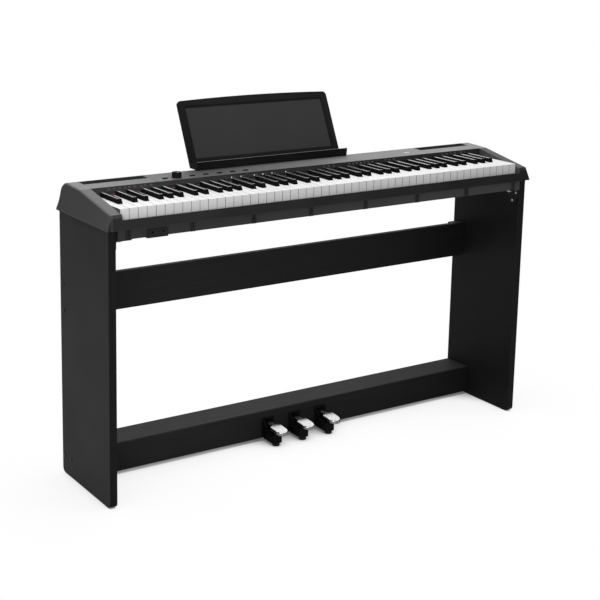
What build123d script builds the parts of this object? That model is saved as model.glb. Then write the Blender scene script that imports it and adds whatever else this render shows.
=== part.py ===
from build123d import *
import math
import os

# Digital piano on its wooden stand, millimetres.
# X runs along the keyboard from bass to treble, Y from the player to the back, Z up.
# The origin is on the floor, under the middle of the whole object.
# Heights are given above the floor, depths are measured back from the front of the slab.

# ---------- driving dimensions ----------
# keyboard
WHITE_PITCH = 23.5
WHITE_COUNT = 52
KEY_GAP = 1.2
KEY_FRONT = 16.0
KEY_TOP = 725.0
KEY_UNDERSIDE = 706.0
KEY_LIP_BOTTOM = 698.0
KEY_LIP_DEPTH = 4.0
KEY_VISIBLE_END = 164.0
KEY_TAIL_TOP = 722.0
KEY_TAIL_END = 212.0
KEY_EDGE = 0.7
SHARP_FRONT = 66.0
SHARP_END = 162.5
SHARP_TOP = 737.0
SHARP_BASE_WIDTH = 11.4
SHARP_TOP_WIDTH = 9.6
SHARP_FRONT_SLOPE = 6.0
SHARP_EDGE = 2.1
SHARP_CLEARANCE = 1.1
PIVOT_DEPTH = 205.0
PIVOT_RADIUS = 4.0
PIVOT_CLEARANCE = 0.6
FRAME_TOP = 678.5
FRAME_PLATE = 2.5
FRAME_FRONT = 14.0
FRONT_RAIL_DEPTHS = (22.0, 34.0)
FRONT_RAIL_TOP = 694.0
MIDDLE_RAIL_DEPTHS = (88.0, 119.0)
MIDDLE_RAIL_TOP = 690.0
CONTACT_BOARD = ((-608.0, 608.0), (86.0, 124.0), (690.0, 691.6))
CONTACT_DOMES = ((-606.0, 606.0), (98.0, 112.0), (691.6, 697.0))
FELT_THICKNESS = 2.0
REAR_FELT_BACK = 168.0

# clearances
BODY_GAP = 0.3
SEAT_GAP = 0.2
OVERCUT = 1.0

# slab case
CASE_HALF_TOP = 641.0
CASE_HALF_BOTTOM = 651.0
CASE_BOTTOM = 678.0
CASE_DEPTH = 279.0
CASE_WALL = 3.0
CREST = 3.5
CHEEK_FRONT_HEIGHT = 715.0
CHEEK_NOSE_DEPTH = 5.0
CHEEK_NOSE_HEIGHT = 708.0
CHEEK_INNER = 612.5
FLARE_SILL = [(0.0, 3.0), (5.0, 4.0), (166.0, 5.0), (240.0, 5.0)]
FLARE_REAR = [(240.0, 5.0), (266.0, 4.5), (279.0, 3.0)]
CHEEK_WALL_OUTLINE = [(1.0, 681.3), (1.0, 704.0), (6.0, 713.5), (166.0, 744.0), (170.0, 744.0), (170.0, 681.3)]
FOLD_DEPTH = 166.0
FOLD_HEIGHT = 745.5
TOP_END_DEPTH = 240.0
TOP_END_HEIGHT = 749.0
FASCIA_TOP = 702.0
FASCIA_DEPTH = 12.0
TRAY_HALF = 621.0
TRAY_BOTTOM = 654.0
TRAY_FRONT = 6.0
TRAY_REAR = 275.0
RIB_MIDDLES = (85.0, 254.0, 425.0, 595.0)
RIB_SPACING = 7.0
RIB_WIDTH = 3.0
RIB_PROUD = 3.0
TOE = ((586.0, 621.0), (6.0, 11.0), (651.5, 654.0))
CASE_SCREW_DEPTHS = (52.0, 196.0)
CASE_SCREW_X = (-590.0, -354.0, -118.0, 118.0, 354.0, 590.0)
CASE_SCREW_HEAD = (4.0, 2.0)
CASE_SCREW_SHANK = (1.5, 19.2)
CASE_SCREW_SEAT = 0.6
KEY_WELL_REAR = 180.0
ABOVE_CASE = 755.0
BELOW_CASE = 670.0
TOP_UNDERSIDE = 738.0
STRIP_BOTTOM = 728.5
STRIP_LEAN = 1.8
STRIP_THICKNESS = 1.7

# controls on the slab
PANEL_HALF = 428.0
PANEL_THICKNESS = 2.0
PANEL_FRONT = 168.0
PANEL_REAR = 238.0
BUTTON_DEPTH = 190.0
BUTTON_X = [-398.0, -320.0, -281.0, -241.0, -202.0, -163.0]
BUTTON_SIZE = (14.0, 8.0)
BUTTON_TOP = 748.6
BUTTON_SHOULDER = 743.5
BUTTON_STEM = (4.0, 741.2)
KNOB_X = -365.0
KNOB_RADIUS = 12.5
KNOB_HEIGHT = 13.0
KNOB_GAP = 0.9
KNOB_FLUTES = 24
KNOB_SHAFT = 3.0
KNOB_SHAFT_END = 737.0
POT_SIZE = (16.0, 14.0)
POT_HEIGHTS = (735.6, 741.6)
PANEL_BOARD = ((-416.0, -146.0), (176.0, 204.0), (734.0, 735.6))
SWITCH_TOP = 739.6
GRILLE_INNER = 434.0
GRILLE_OUTER = 609.0
GRILLE_FRONT = 211.0
GRILLE_REAR = 241.0
GRILLE_SEAT = 2.0
GRILLE_SLOT = 1.8
GRILLE_SLOT_PITCH = 4
SPEAKER_DEPTH = 237.0
SPEAKER_FLANGE = (150.0, 44.0, 736.0, 3.0)
SPEAKER_BASKET = ((62.0, 18.0, 736.0), (28.0, 14.0, 708.0))
SPEAKER_CONE = ((58.0, 16.0, 739.1), (20.0, 7.0, 722.0))
SPEAKER_MAGNET = (20.0, 690.0, 18.0)

# electronics and sockets
MAIN_BOARD = ((100.0, 420.0), (216.0, 268.0), (664.0, 665.6))
CHIP = ((180.0, 204.0), (230.0, 254.0), (665.6, 668.0))
HEAT_SINK = ((260.0, 300.0), (226.0, 256.0), (665.6, 680.0))
COILS = [((x, x + 12.0), (228.0, 240.0), (665.6, 674.0)) for x in (330.0, 350.0, 370.0)]
BOARD_PILLARS = [(x, depth) for x in (110.0, 410.0) for depth in (222.0, 262.0)]
HEADPHONE_BLOCK = ((-547.0, -492.0), (3.2, 42.0), (651.5, 672.0))
HEADPHONE_NOTCH = ((-547.2, -491.8), (0.0, 42.2), (640.0, 672.2))
HEADPHONE_X = (-534.0, -505.0)
HEADPHONE_HEIGHT = 664.5
SOCKET_RADIUS = 3.2
REAR_OPENING = ((250.0, 400.0), (270.0, 285.0), (688.0, 712.0))
REAR_PLATE = ((250.2, 399.8), (274.0, 277.6), (688.2, 711.8))
REAR_SOCKET_X = (296.0, 326.0, 356.0)
POWER_INLET_X = 266.0
REAR_SOCKET_HEIGHT = 700.0
DATA_SOCKET = ((376.0, 392.0), (258.0, 274.0), (692.0, 708.0))
DATA_MOUTH = ((379.0, 389.0), (264.0, 280.0), (696.0, 704.0))

# music rest
REST_X = -46.0
REST_WIDTH = 472.0
REST_LENGTH = 186.0
REST_TILT = 25.0
REST_FOOT_DEPTH = 262.0
REST_FOOT_HEIGHT = 749.6
REST_THICKNESS = 6.0
REST_BORDER = 17.0
REST_RECESS = 2.0
LEDGE_FRONT = 232.0
LEDGE_LIP = 21.0
LEDGE_WALL = 3.0
LEDGE_LEAN = 2.0
LEDGE_END_FRONT = 19.0
LEDGE_END_REAR = 11.0
REST_CROWN = 5.0
REST_CORNER = 11.0
REST_TAB_SPACING = 300.0
REST_TAB_DEPTH = 246.0
REST_TAB = (30.0, 4.0, 14.0)

# stand
PANEL_OUTER = 645.0
BOARD_SIDE = 20.0
SIDE_FRONT = 9.5
SIDE_REAR = 274.5
GLIDE_HEIGHT = 1.5
SIDE_CORNER = 12.0
BOARD = 15.0
CROSS_FRONT = 230.0
CROSS_BOTTOM = 417.0
CROSS_TOP = 515.0
BOX_FRONT = 182.5
BOX_REAR = 271.5
BOX_BOTTOM = 10.0
BOX_TOP = 85.0
BOX_EDGE = 7.0
STAND_SCREWS = [(257.5, 495.0), (257.5, 428.0), (226.0, 48.0), (262.0, 48.0)]
STAND_SCREW_RADIUS = 3.0
STAND_SCREW_HEAD = (5.5, 1.5)
STAND_SCREW_LENGTH = 40.0
GLIDE_DEPTHS = (34.0, 250.0)
GLIDE_RADIUS = 9.0
NAIL_RADIUS = 1.0
NAIL_LENGTH = 12.0
BATTEN_INNER = 597.0
UPRIGHT_BATTEN_REAR = 268.0
LOW_BATTEN_REAR = 236.0
LOW_BATTEN_BOTTOM = 18.0
BRACKET_OUTLINE = [(12.0, 652.0), (54.0, 652.0), (54.0, 634.0), (40.0, 608.0), (26.0, 608.0), (12.0, 634.0)]
BRACKET_FLANGE = ((596.0, 625.0), (12.0, 54.0), (652.0, 654.0))
BRACKET_STEEL = 2.0
BRACKET_HOLES = [(20.0, 641.0), (46.0, 641.0), (33.0, 618.0)]
BRACKET_SCREW_HEAD = (3.2, 1.6)
BRACKET_SCREW_SHANK = (2.0, 16.0)
THUMB_SCREW = (608.0, 33.0)
THUMB_KNOB = (8.0, 645.0, 7.0)
THUMB_STUD = (3.0, 11.0)

# pedals
PEDAL_SPACING = 86.0
PEDAL_TIP_DEPTH = 98.0
PEDAL_SHOULDER_DEPTH = 140.0
PEDAL_NECK_DEPTH = 161.0
PEDAL_BEND_DEPTH = 152.0
PEDAL_DROOP = 6.0
PEDAL_THICKNESS = 9.0
PEDAL_NECK = 15.0
PEDAL_TIP_WIDTH = 36.0
PEDAL_PIVOT_DEPTH = 240.0
PEDAL_PIVOT_HEIGHT = 50.0
PEDAL_HEEL = 9.0
PEDAL_CROWN = 3.0
PEDAL_SOLE = 1.5
PEDAL_BOSS = 8.0
PEDAL_SLOT = (26.0, 34.0, 64.0)
AXLE_RADIUS = 3.0
AXLE_HALF = 130.0
RUNNING_CLEARANCE = 0.1
CHASSIS_HALF = 135.0
CHASSIS_HEIGHTS = (12.0, 14.0)
CHASSIS_LIP_TOP = 28.0
EAR_X = (-126.0, -43.0, 43.0, 126.0)
EAR_TOP = 62.0
EAR_HALF_DEPTH = 10.0
SPRING_DEPTH = 214.0
SPRING_RADIUS = 6.0
SPRING_WIRE = 0.9
SPRING_TURNS = 5
SPRING_TOP_GAP = 1.0
PEDAL_BASE_FRONT = 130.0
PEDAL_BASE_HALF = 15.0
PEDAL_BASE_HEIGHTS = (9.0, 33.0, 37.0)
SLOT_FRAME = (38.0, 13.0, 66.0)
SLOT_FRAME_PROUD = 3.0
SLOT_WINDOW = (24.0, 38.0, 63.0)
BASE_CHEEK_WALL = 2.5
BASE_CHEEK = [(165.0, 30.0), (165.0, 44.0), (179.5, 58.0), (179.5, 30.0)]
FOOT_RADIUS = 10.0
SENSOR_BOARD = ((-110.0, 110.0), (252.0, 253.6), (18.0, 54.0))
SENSOR_SWITCH = (10.0, (250.4, 252.0), (36.0, 48.0))

# ---------- derived ----------
KEYBOARD_LEFT = -WHITE_PITCH * WHITE_COUNT / 2
REST_LEAN = REST_LENGTH * math.sin(math.radians(REST_TILT))
REST_BACK = REST_THICKNESS * math.cos(math.radians(REST_TILT))
TOTAL_DEPTH = REST_FOOT_DEPTH + REST_LEAN + REST_BACK
FRONT_Y = -TOTAL_DEPTH / 2
TOP_SLOPE = (TOP_END_HEIGHT - FOLD_HEIGHT) / (TOP_END_DEPTH - FOLD_DEPTH)
REAR_RADIUS = CASE_DEPTH - TOP_END_DEPTH
SIDE_INNER = PANEL_OUTER - BOARD_SIDE
GLIDE_X = PANEL_OUTER - BOARD_SIDE / 2

NOTES = ["c", "c_sharp", "d", "d_sharp", "e", "f", "f_sharp", "g", "g_sharp", "a", "a_sharp", "b"]
WHITE_STEP = {"c": 0, "d": 1, "e": 2, "f": 3, "g": 4, "a": 5, "b": 6}
SHARP_OFFSET = {"c_sharp": -3.0, "d_sharp": 3.0, "f_sharp": -4.0, "g_sharp": 0.0, "a_sharp": 4.0}
FIRST_MIDI = 21
LAST_MIDI = 108


def back(depth):
    """Return the Y of a point that lies the given depth behind the front of the slab."""
    return FRONT_Y + depth


def top_height(depth):
    """Return the height of the slab's flat top at the given depth."""
    return FOLD_HEIGHT + TOP_SLOPE * (depth - FOLD_DEPTH)


def block(x_limits, depth_limits, z_limits):
    """Return a rectangular solid between three pairs of limits."""
    with BuildPart() as solid:
        with BuildSketch(Plane.XY.offset(z_limits[0])):
            with Locations((sum(x_limits) / 2, back(sum(depth_limits) / 2))):
                Rectangle(x_limits[1] - x_limits[0], depth_limits[1] - depth_limits[0])
        extrude(amount=z_limits[1] - z_limits[0])
    return solid.part


def prism(outline, x_low, x_high):
    """Return a prism along X whose side outline is a list of (depth, height) corners."""
    corners = [(back(depth), height) for depth, height in outline]
    with BuildPart() as solid:
        with BuildSketch(Plane.YZ.offset(x_low)):
            Polygon(*corners, align=None)
        extrude(amount=x_high - x_low)
    return solid.part


def rod(start, radius, length, direction=(0, 0, 1)):
    """Return a round bar that starts at a (x, depth, height) point."""
    origin = (start[0], back(start[1]), start[2])
    with BuildPart() as solid:
        with BuildSketch(Plane(origin=origin, z_dir=direction)):
            Circle(radius)
        extrude(amount=length)
    return solid.part


def joined(pieces, cuts=()):
    """Return the pieces as one node, less the cuts."""
    with BuildPart() as node:
        for piece in pieces:
            add(piece)
        for cut in cuts:
            add(cut, mode=Mode.SUBTRACT)
    return node.part


def mirrored_pair(piece):
    """Return a piece and its mirror image across the middle of the piano."""
    return [piece, mirror(piece, about=Plane.YZ)]


def save(part, name):
    """Label a finished node and write its STEP file."""
    part.label = name
    export_step(part, f"parts/{name}.step")


# ---------- keyboard ----------
def white_index(midi):
    """Return how many white keys lie left of this white key."""
    octave, step = divmod(midi - 12, 12)
    return 7 * octave + WHITE_STEP[NOTES[step]] - 5


def sharp_centre(midi):
    """Return the X of a black key's middle."""
    left_white = white_index(midi - 1)
    gap_line = KEYBOARD_LEFT + WHITE_PITCH * (left_white + 1)
    return gap_line + SHARP_OFFSET[NOTES[midi % 12]]


def is_sharp(midi):
    """Tell a black key from a white one."""
    return NOTES[midi % 12] in SHARP_OFFSET


def pivot_groove(x_low, x_high):
    """Return the round groove in a key's underside that rides on the pivot rail."""
    radius = PIVOT_RADIUS + PIVOT_CLEARANCE
    return rod((x_low, PIVOT_DEPTH, KEY_UNDERSIDE), radius, x_high - x_low, (1, 0, 0))


def white_key(midi):
    """Return one white key: full width in front, a narrower tail between the black keys."""
    left = KEYBOARD_LEFT + WHITE_PITCH * white_index(midi) + KEY_GAP / 2
    right = left + WHITE_PITCH - KEY_GAP
    tail_left = left
    tail_right = right
    side_gap = SHARP_BASE_WIDTH / 2 + SHARP_CLEARANCE
    if midi > FIRST_MIDI and is_sharp(midi - 1):
        tail_left = sharp_centre(midi - 1) + side_gap
    if midi < LAST_MIDI and is_sharp(midi + 1):
        tail_right = sharp_centre(midi + 1) - side_gap
    notch = back(SHARP_FRONT - SHARP_CLEARANCE)
    outline = [
        (left, back(KEY_FRONT)), (right, back(KEY_FRONT)), (right, notch), (tail_right, notch),
        (tail_right, back(KEY_VISIBLE_END)), (tail_left, back(KEY_VISIBLE_END)),
        (tail_left, notch), (left, notch),
    ]
    with BuildPart() as key:
        with BuildSketch(Plane.XY.offset(KEY_UNDERSIDE)):
            Polygon(*outline, align=None)
        extrude(amount=KEY_TOP - KEY_UNDERSIDE)
        add(block((left, right), (KEY_FRONT, KEY_FRONT + KEY_LIP_DEPTH), (KEY_LIP_BOTTOM, KEY_UNDERSIDE)))
        add(block((tail_left, tail_right), (KEY_VISIBLE_END, KEY_TAIL_END), (KEY_UNDERSIDE, KEY_TAIL_TOP)))
        fillet(key.faces().sort_by(Axis.Z)[-1].edges(), radius=KEY_EDGE)
        add(pivot_groove(tail_left - 1, tail_right + 1), mode=Mode.SUBTRACT)
    return key.part


def black_key(midi):
    """Return one black key: a tapered cap with a sloped front on a plain body."""
    centre = sharp_centre(midi)
    half_base = SHARP_BASE_WIDTH / 2
    width = (centre - half_base, centre + half_base)
    cap_middle = (SHARP_FRONT + SHARP_END) / 2
    top_front = SHARP_FRONT + SHARP_FRONT_SLOPE
    top_middle = (top_front + SHARP_END) / 2
    with BuildPart() as key:
        with BuildSketch(Plane.XY.offset(KEY_TOP - 1)):
            with Locations((centre, back(cap_middle))):
                Rectangle(SHARP_BASE_WIDTH, SHARP_END - SHARP_FRONT)
        with BuildSketch(Plane.XY.offset(SHARP_TOP)):
            with Locations((centre, back(top_middle))):
                Rectangle(SHARP_TOP_WIDTH, SHARP_END - top_front)
        loft()
        fillet(key.faces().sort_by(Axis.Z)[-1].edges(), radius=SHARP_EDGE)
        add(block(width, (SHARP_FRONT, SHARP_END), (KEY_UNDERSIDE, KEY_TOP - 1)))
        add(block(width, (SHARP_END, KEY_TAIL_END), (KEY_UNDERSIDE, KEY_TAIL_TOP)))
        add(pivot_groove(centre - half_base - 1, centre + half_base + 1), mode=Mode.SUBTRACT)
    return key.part


def keys_of_note(step):
    """Return every key of one note name, from the lowest octave to the highest."""
    midis = [midi for midi in range(FIRST_MIDI, LAST_MIDI + 1) if midi % 12 == step]
    make = black_key if NOTES[step] in SHARP_OFFSET else white_key
    return joined([make(midi) for midi in midis])


def key_frame():
    """Return the pressed frame under the keys, with its front rail and pivot rail."""
    half = CHEEK_INNER - 1
    plate = block((-half, half), (FRAME_FRONT, KEY_TAIL_END), (FRAME_TOP - FRAME_PLATE, FRAME_TOP))
    front_rail = block((-half, half), FRONT_RAIL_DEPTHS, (FRAME_TOP, FRONT_RAIL_TOP))
    middle_rails = [
        block((-half, half), (depth, depth + CASE_WALL), (FRAME_TOP, MIDDLE_RAIL_TOP))
        for depth in MIDDLE_RAIL_DEPTHS
    ]
    pivot_wall = block(
        (-half, half), (PIVOT_DEPTH - PIVOT_RADIUS, PIVOT_DEPTH + PIVOT_RADIUS), (FRAME_TOP, KEY_UNDERSIDE)
    )
    pivot_top = rod((-half, PIVOT_DEPTH, KEY_UNDERSIDE), PIVOT_RADIUS, 2 * half, (1, 0, 0))
    return joined([plate, front_rail, *middle_rails, pivot_wall, pivot_top])


def key_contact_board():
    """Return the long contact board with its rubber dome strip."""
    return joined([block(*CONTACT_BOARD), block(*CONTACT_DOMES)])


def felt_strips():
    """Return the red felt behind the keys and the felt that stops their fronts."""
    half = CHEEK_INNER - 1.5
    rear_felt = block(
        (-half, half), (KEY_VISIBLE_END - 0.4, REAR_FELT_BACK), (KEY_TOP + 0.9, STRIP_BOTTOM - 0.1)
    )
    front, rear = FRONT_RAIL_DEPTHS
    front_felt = block(
        (-half, half), (front + 0.5, rear - 0.5), (FRONT_RAIL_TOP, FRONT_RAIL_TOP + FELT_THICKNESS)
    )
    return joined([rear_felt, front_felt])


# ---------- slab ----------
def case_outline(inset, low=CASE_BOTTOM):
    """Draw the slab's side outline, moved in by an inset, down to a lower edge, as one closed face."""
    front = back(inset)
    rear = back(CASE_DEPTH - inset)
    radius = REAR_RADIUS - inset
    arc_centre = (back(TOP_END_DEPTH), TOP_END_HEIGHT - REAR_RADIUS)
    with BuildSketch(Plane.XY) as outline:
        with BuildLine():
            Polyline(
                (front, low),
                (front, CHEEK_NOSE_HEIGHT - inset),
                (back(CHEEK_NOSE_DEPTH + inset / 2), CHEEK_FRONT_HEIGHT - inset),
                (back(FOLD_DEPTH + inset / 4), FOLD_HEIGHT - inset),
                (back(TOP_END_DEPTH), TOP_END_HEIGHT - inset),
            )
            CenterArc(arc_centre, radius, 90, -90)
            Polyline((rear, arc_centre[1]), (rear, low), (front, low))
        make_face()
    return outline.sketch


def flare_outline():
    """Draw the low outline where the flared side meets its bottom edge."""
    sill = [(back(depth), CASE_BOTTOM + height) for depth, height in FLARE_SILL]
    rear_arc = [(back(depth), CASE_BOTTOM + height) for depth, height in FLARE_REAR]
    with BuildSketch(Plane.XY) as outline:
        with BuildLine():
            Polyline((back(0), CASE_BOTTOM), *sill)
            ThreePointArc(*rear_arc)
            Polyline(rear_arc[-1], (back(CASE_DEPTH), CASE_BOTTOM), (back(0), CASE_BOTTOM))
        make_face()
    return outline.sketch


def lofted(outline_in, x_in, outline_out, x_out):
    """Return the treble side's straight-sided loft between two upright outlines."""
    with BuildPart() as form:
        with BuildSketch(Plane.YZ.offset(x_in)):
            add(outline_in)
        with BuildSketch(Plane.YZ.offset(x_out)):
            add(outline_out)
        loft(ruled=True)
    return form.part


def outer_case():
    """Return the slab's solid outer form, with eased crests and sides that flare towards the bottom."""
    straight_half = CASE_HALF_TOP - CREST
    with BuildPart() as form:
        with BuildSketch(Plane.YZ.offset(-straight_half)):
            add(case_outline(0))
        extrude(amount=2 * straight_half)
    eased = case_outline(0.7 * CREST)
    crest = lofted(case_outline(0), straight_half, eased, CASE_HALF_TOP)
    flare = lofted(eased, CASE_HALF_TOP, flare_outline(), CASE_HALF_BOTTOM)
    return joined([form.part, *mirrored_pair(crest), *mirrored_pair(flare)])


def case_cavity():
    """Return the hollow inside the slab's shell."""
    with BuildPart() as cavity:
        with BuildSketch(Plane.YZ.offset(-CASE_HALF_TOP + CASE_WALL)):
            add(case_outline(CASE_WALL, CASE_BOTTOM - OVERCUT))
        extrude(amount=2 * (CASE_HALF_TOP - CASE_WALL))
    return cavity.part


def key_well_wall():
    """Return the wall between each cheek and the keys, and the wall behind the panel strip."""
    cheek = prism(CHEEK_WALL_OUTLINE, CHEEK_INNER, CHEEK_INNER + CASE_WALL)
    seat = FOLD_DEPTH + STRIP_THICKNESS
    top = FOLD_HEIGHT - OVERCUT
    strip_wall = prism(
        [(seat, top), (seat - STRIP_LEAN, STRIP_BOTTOM),
         (seat + CASE_WALL - OVERCUT, STRIP_BOTTOM), (seat + CASE_WALL, top)],
        -CHEEK_INNER, CHEEK_INNER,
    )
    return [*mirrored_pair(cheek), strip_wall]


def key_opening():
    """Return the space that the keys take out of the slab, as a list of cuts."""
    seat = FOLD_DEPTH + STRIP_THICKNESS
    shelf = FASCIA_TOP - CASE_WALL
    upper = prism(
        [(FASCIA_DEPTH, shelf), (FASCIA_DEPTH, ABOVE_CASE), (seat, ABOVE_CASE), (seat, FOLD_HEIGHT),
         (seat - STRIP_LEAN, STRIP_BOTTOM), (KEY_WELL_REAR, STRIP_BOTTOM), (KEY_WELL_REAR, BELOW_CASE),
         (CASE_WALL, BELOW_CASE), (CASE_WALL, shelf)],
        -CHEEK_INNER, CHEEK_INNER,
    )
    nose = block((-CHEEK_INNER, CHEEK_INNER), (-OVERCUT, FASCIA_DEPTH + OVERCUT), (FASCIA_TOP, ABOVE_CASE))
    return [upper, nose]


def top_recess(x_limits, depth_limits, below, above=5.0):
    """Return a slice under the slab's flat top, from a depth below it to just above it."""
    front, rear = depth_limits
    return prism(
        [(front, top_height(front) - below), (front, top_height(front) + above),
         (rear, top_height(rear) + above), (rear, top_height(rear) - below)],
        x_limits[0], x_limits[1],
    )


def button_holes(clearance):
    """Return the openings for the buttons and the knob's shaft."""
    half_x = BUTTON_SIZE[0] / 2 + clearance
    half_y = BUTTON_SIZE[1] / 2 + clearance
    depths = (BUTTON_DEPTH - half_y, BUTTON_DEPTH + half_y)
    holes = [block((x - half_x, x + half_x), depths, (TOP_UNDERSIDE, ABOVE_CASE)) for x in BUTTON_X]
    shaft_hole = rod((KNOB_X, BUTTON_DEPTH, TOP_UNDERSIDE), KNOB_SHAFT + OVERCUT, ABOVE_CASE - TOP_UNDERSIDE)
    return [*holes, shaft_hole]


def tab_centres():
    """Return the X of the music rest's two tabs."""
    return [REST_X - REST_TAB_SPACING / 2, REST_X + REST_TAB_SPACING / 2]


def rest_tab(x, low, high, clearance=0.0):
    """Return one tab of the music rest, or the slot it drops into when given a clearance."""
    half_x = REST_TAB[0] / 2 + clearance
    half_y = REST_TAB[1] / 2 + clearance
    return block((x - half_x, x + half_x), (REST_TAB_DEPTH - half_y, REST_TAB_DEPTH + half_y), (low, high))


def top_case():
    """Return the moulded upper shell of the slab, cheeks and fascia included."""
    form = joined([outer_case()], [case_cavity()])
    form = joined([form, *key_well_wall()], key_opening())
    panel_half = PANEL_HALF + SEAT_GAP
    cuts = [top_recess((-panel_half, panel_half), (PANEL_FRONT, PANEL_REAR + SEAT_GAP), PANEL_THICKNESS)]
    cuts += button_holes(BODY_GAP + 0.1)
    grille_seat = top_recess((GRILLE_INNER, GRILLE_OUTER), (GRILLE_FRONT, GRILLE_REAR), GRILLE_SEAT)
    grille_hole = top_recess(
        (GRILLE_INNER + 2, GRILLE_OUTER - 2), (GRILLE_FRONT + 2, GRILLE_REAR - 2), 4 * GRILLE_SEAT
    )
    cuts += mirrored_pair(grille_seat)
    cuts += mirrored_pair(grille_hole)
    cuts += [rest_tab(x, TOP_UNDERSIDE, ABOVE_CASE, 0.5) for x in tab_centres()]
    cuts.append(block(*REAR_OPENING))
    return joined([form], cuts)


def ribs():
    """Return the pairs of upright fins across the front of the tray."""
    half_gap = RIB_SPACING / 2
    fins = []
    for middle in RIB_MIDDLES:
        for x in (middle - half_gap, middle + half_gap):
            fin = block(
                (x - RIB_WIDTH / 2, x + RIB_WIDTH / 2), (TRAY_FRONT - RIB_PROUD, TRAY_FRONT),
                (TRAY_BOTTOM, CASE_BOTTOM),
            )
            fins += mirrored_pair(fin)
    return fins


def bottom_case():
    """Return the tray under the slab, with ribs across its front wall."""
    fit = CASE_WALL + BODY_GAP
    flange_half = CASE_HALF_TOP - fit
    tray = block((-TRAY_HALF, TRAY_HALF), (TRAY_FRONT, TRAY_REAR), (TRAY_BOTTOM, CASE_BOTTOM + OVERCUT))
    flange = block(
        (-flange_half, flange_half), (fit, CASE_DEPTH - fit), (CASE_BOTTOM, CASE_BOTTOM + CASE_WALL)
    )
    inner = TRAY_HALF - CASE_WALL
    hollow = block(
        (-inner, inner), (TRAY_FRONT + CASE_WALL, TRAY_REAR - CASE_WALL),
        (TRAY_BOTTOM + CASE_WALL, CASE_BOTTOM + 2 * CASE_WALL),
    )
    body = joined([tray, flange], [hollow])
    below = TRAY_BOTTOM - OVERCUT
    head_radius, head_height = CASE_SCREW_HEAD
    post_height = FRAME_TOP - FRAME_PLATE - TRAY_BOTTOM
    posts = []
    cuts = [block(*HEADPHONE_NOTCH)]
    for x, depth in case_screw_places():
        posts.append(rod((x, depth, TRAY_BOTTOM), 2 * CASE_WALL, post_height))
        cuts.append(rod((x, depth, below), head_radius + SEAT_GAP, OVERCUT + CASE_SCREW_SEAT + head_height))
        cuts.append(rod((x, depth, below), CASE_SCREW_SHANK[0] + 0.1, 2 * post_height))
    bracket_post = rod((*THUMB_SCREW, TRAY_BOTTOM), THUMB_STUD[0] + 4, THUMB_STUD[1] + OVERCUT)
    bracket_hole = rod((*THUMB_SCREW, below), THUMB_STUD[0] + 0.1, 2 * post_height)
    posts += mirrored_pair(bracket_post)
    cuts += mirrored_pair(bracket_hole)
    return joined([body, *ribs(), *mirrored_pair(block(*TOE)), *posts], cuts)


def case_screw_places():
    """Return the (x, depth) of each screw in the bottom of the slab."""
    return [(x, depth) for depth in CASE_SCREW_DEPTHS for x in CASE_SCREW_X]


def case_screws():
    """Return the pan-head screws that hold the tray to the key frame."""
    seat = TRAY_BOTTOM + CASE_SCREW_SEAT
    screws = []
    for x, depth in case_screw_places():
        head = rod((x, depth, seat), *CASE_SCREW_HEAD)
        shank = rod((x, depth, seat + CASE_SCREW_HEAD[1]), *CASE_SCREW_SHANK)
        screws.append(joined([head, shank]))
    return joined(screws)


def control_panel():
    """Return the flush plate that carries the buttons and the knob."""
    plate = top_recess((-PANEL_HALF, PANEL_HALF), (PANEL_FRONT + SEAT_GAP, PANEL_REAR), PANEL_THICKNESS, 0.0)
    return joined([plate], button_holes(BODY_GAP))


def panel_strip():
    """Return the glossy strip that faces the player behind the keys."""
    half = CHEEK_INNER - BODY_GAP
    top = FOLD_HEIGHT - 0.1
    low = FOLD_DEPTH - STRIP_LEAN
    thickness = STRIP_THICKNESS - 0.1
    return prism(
        [(FOLD_DEPTH, top), (low, STRIP_BOTTOM), (low + thickness, STRIP_BOTTOM),
         (FOLD_DEPTH + thickness, top)],
        -half, half,
    )


def grille():
    """Return the treble side's speaker grille, a thin plate with rows of slots."""
    plate = top_recess(
        (GRILLE_INNER + BODY_GAP, GRILLE_OUTER - BODY_GAP), (GRILLE_FRONT + BODY_GAP, GRILLE_REAR - BODY_GAP),
        GRILLE_SEAT - 0.1, -0.4,
    )
    half_slot = GRILLE_SLOT / 2
    length = (GRILLE_INNER + 8, GRILLE_OUTER - 8)
    slots = [
        block(length, (depth - half_slot, depth + half_slot), (TOP_UNDERSIDE, ABOVE_CASE))
        for depth in range(int(GRILLE_FRONT) + GRILLE_SLOT_PITCH, int(GRILLE_REAR), GRILLE_SLOT_PITCH)
    ]
    return joined([plate], slots)


def speaker():
    """Return the treble side's oval speaker: flange, cone basket and magnet."""
    middle = (GRILLE_INNER + GRILLE_OUTER) / 2
    length, width, flange_low, flange_thickness = SPEAKER_FLANGE
    magnet_radius, magnet_low, magnet_height = SPEAKER_MAGNET
    with BuildPart() as driver:
        with BuildSketch(Plane.XY.offset(flange_low)):
            with Locations((middle, back(SPEAKER_DEPTH))):
                SlotOverall(length, width)
        extrude(amount=flange_thickness)
        for half_x, half_y, height in SPEAKER_BASKET:
            with BuildSketch(Plane.XY.offset(height)):
                with Locations((middle, back(SPEAKER_DEPTH))):
                    Ellipse(half_x, half_y)
        loft()
        add(rod((middle, SPEAKER_DEPTH, magnet_low), magnet_radius, magnet_height))
        for half_x, half_y, height in SPEAKER_CONE:
            with BuildSketch(Plane.XY.offset(height)):
                with Locations((middle, back(SPEAKER_DEPTH))):
                    Ellipse(half_x, half_y)
        loft(mode=Mode.SUBTRACT)
    return driver.part


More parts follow.
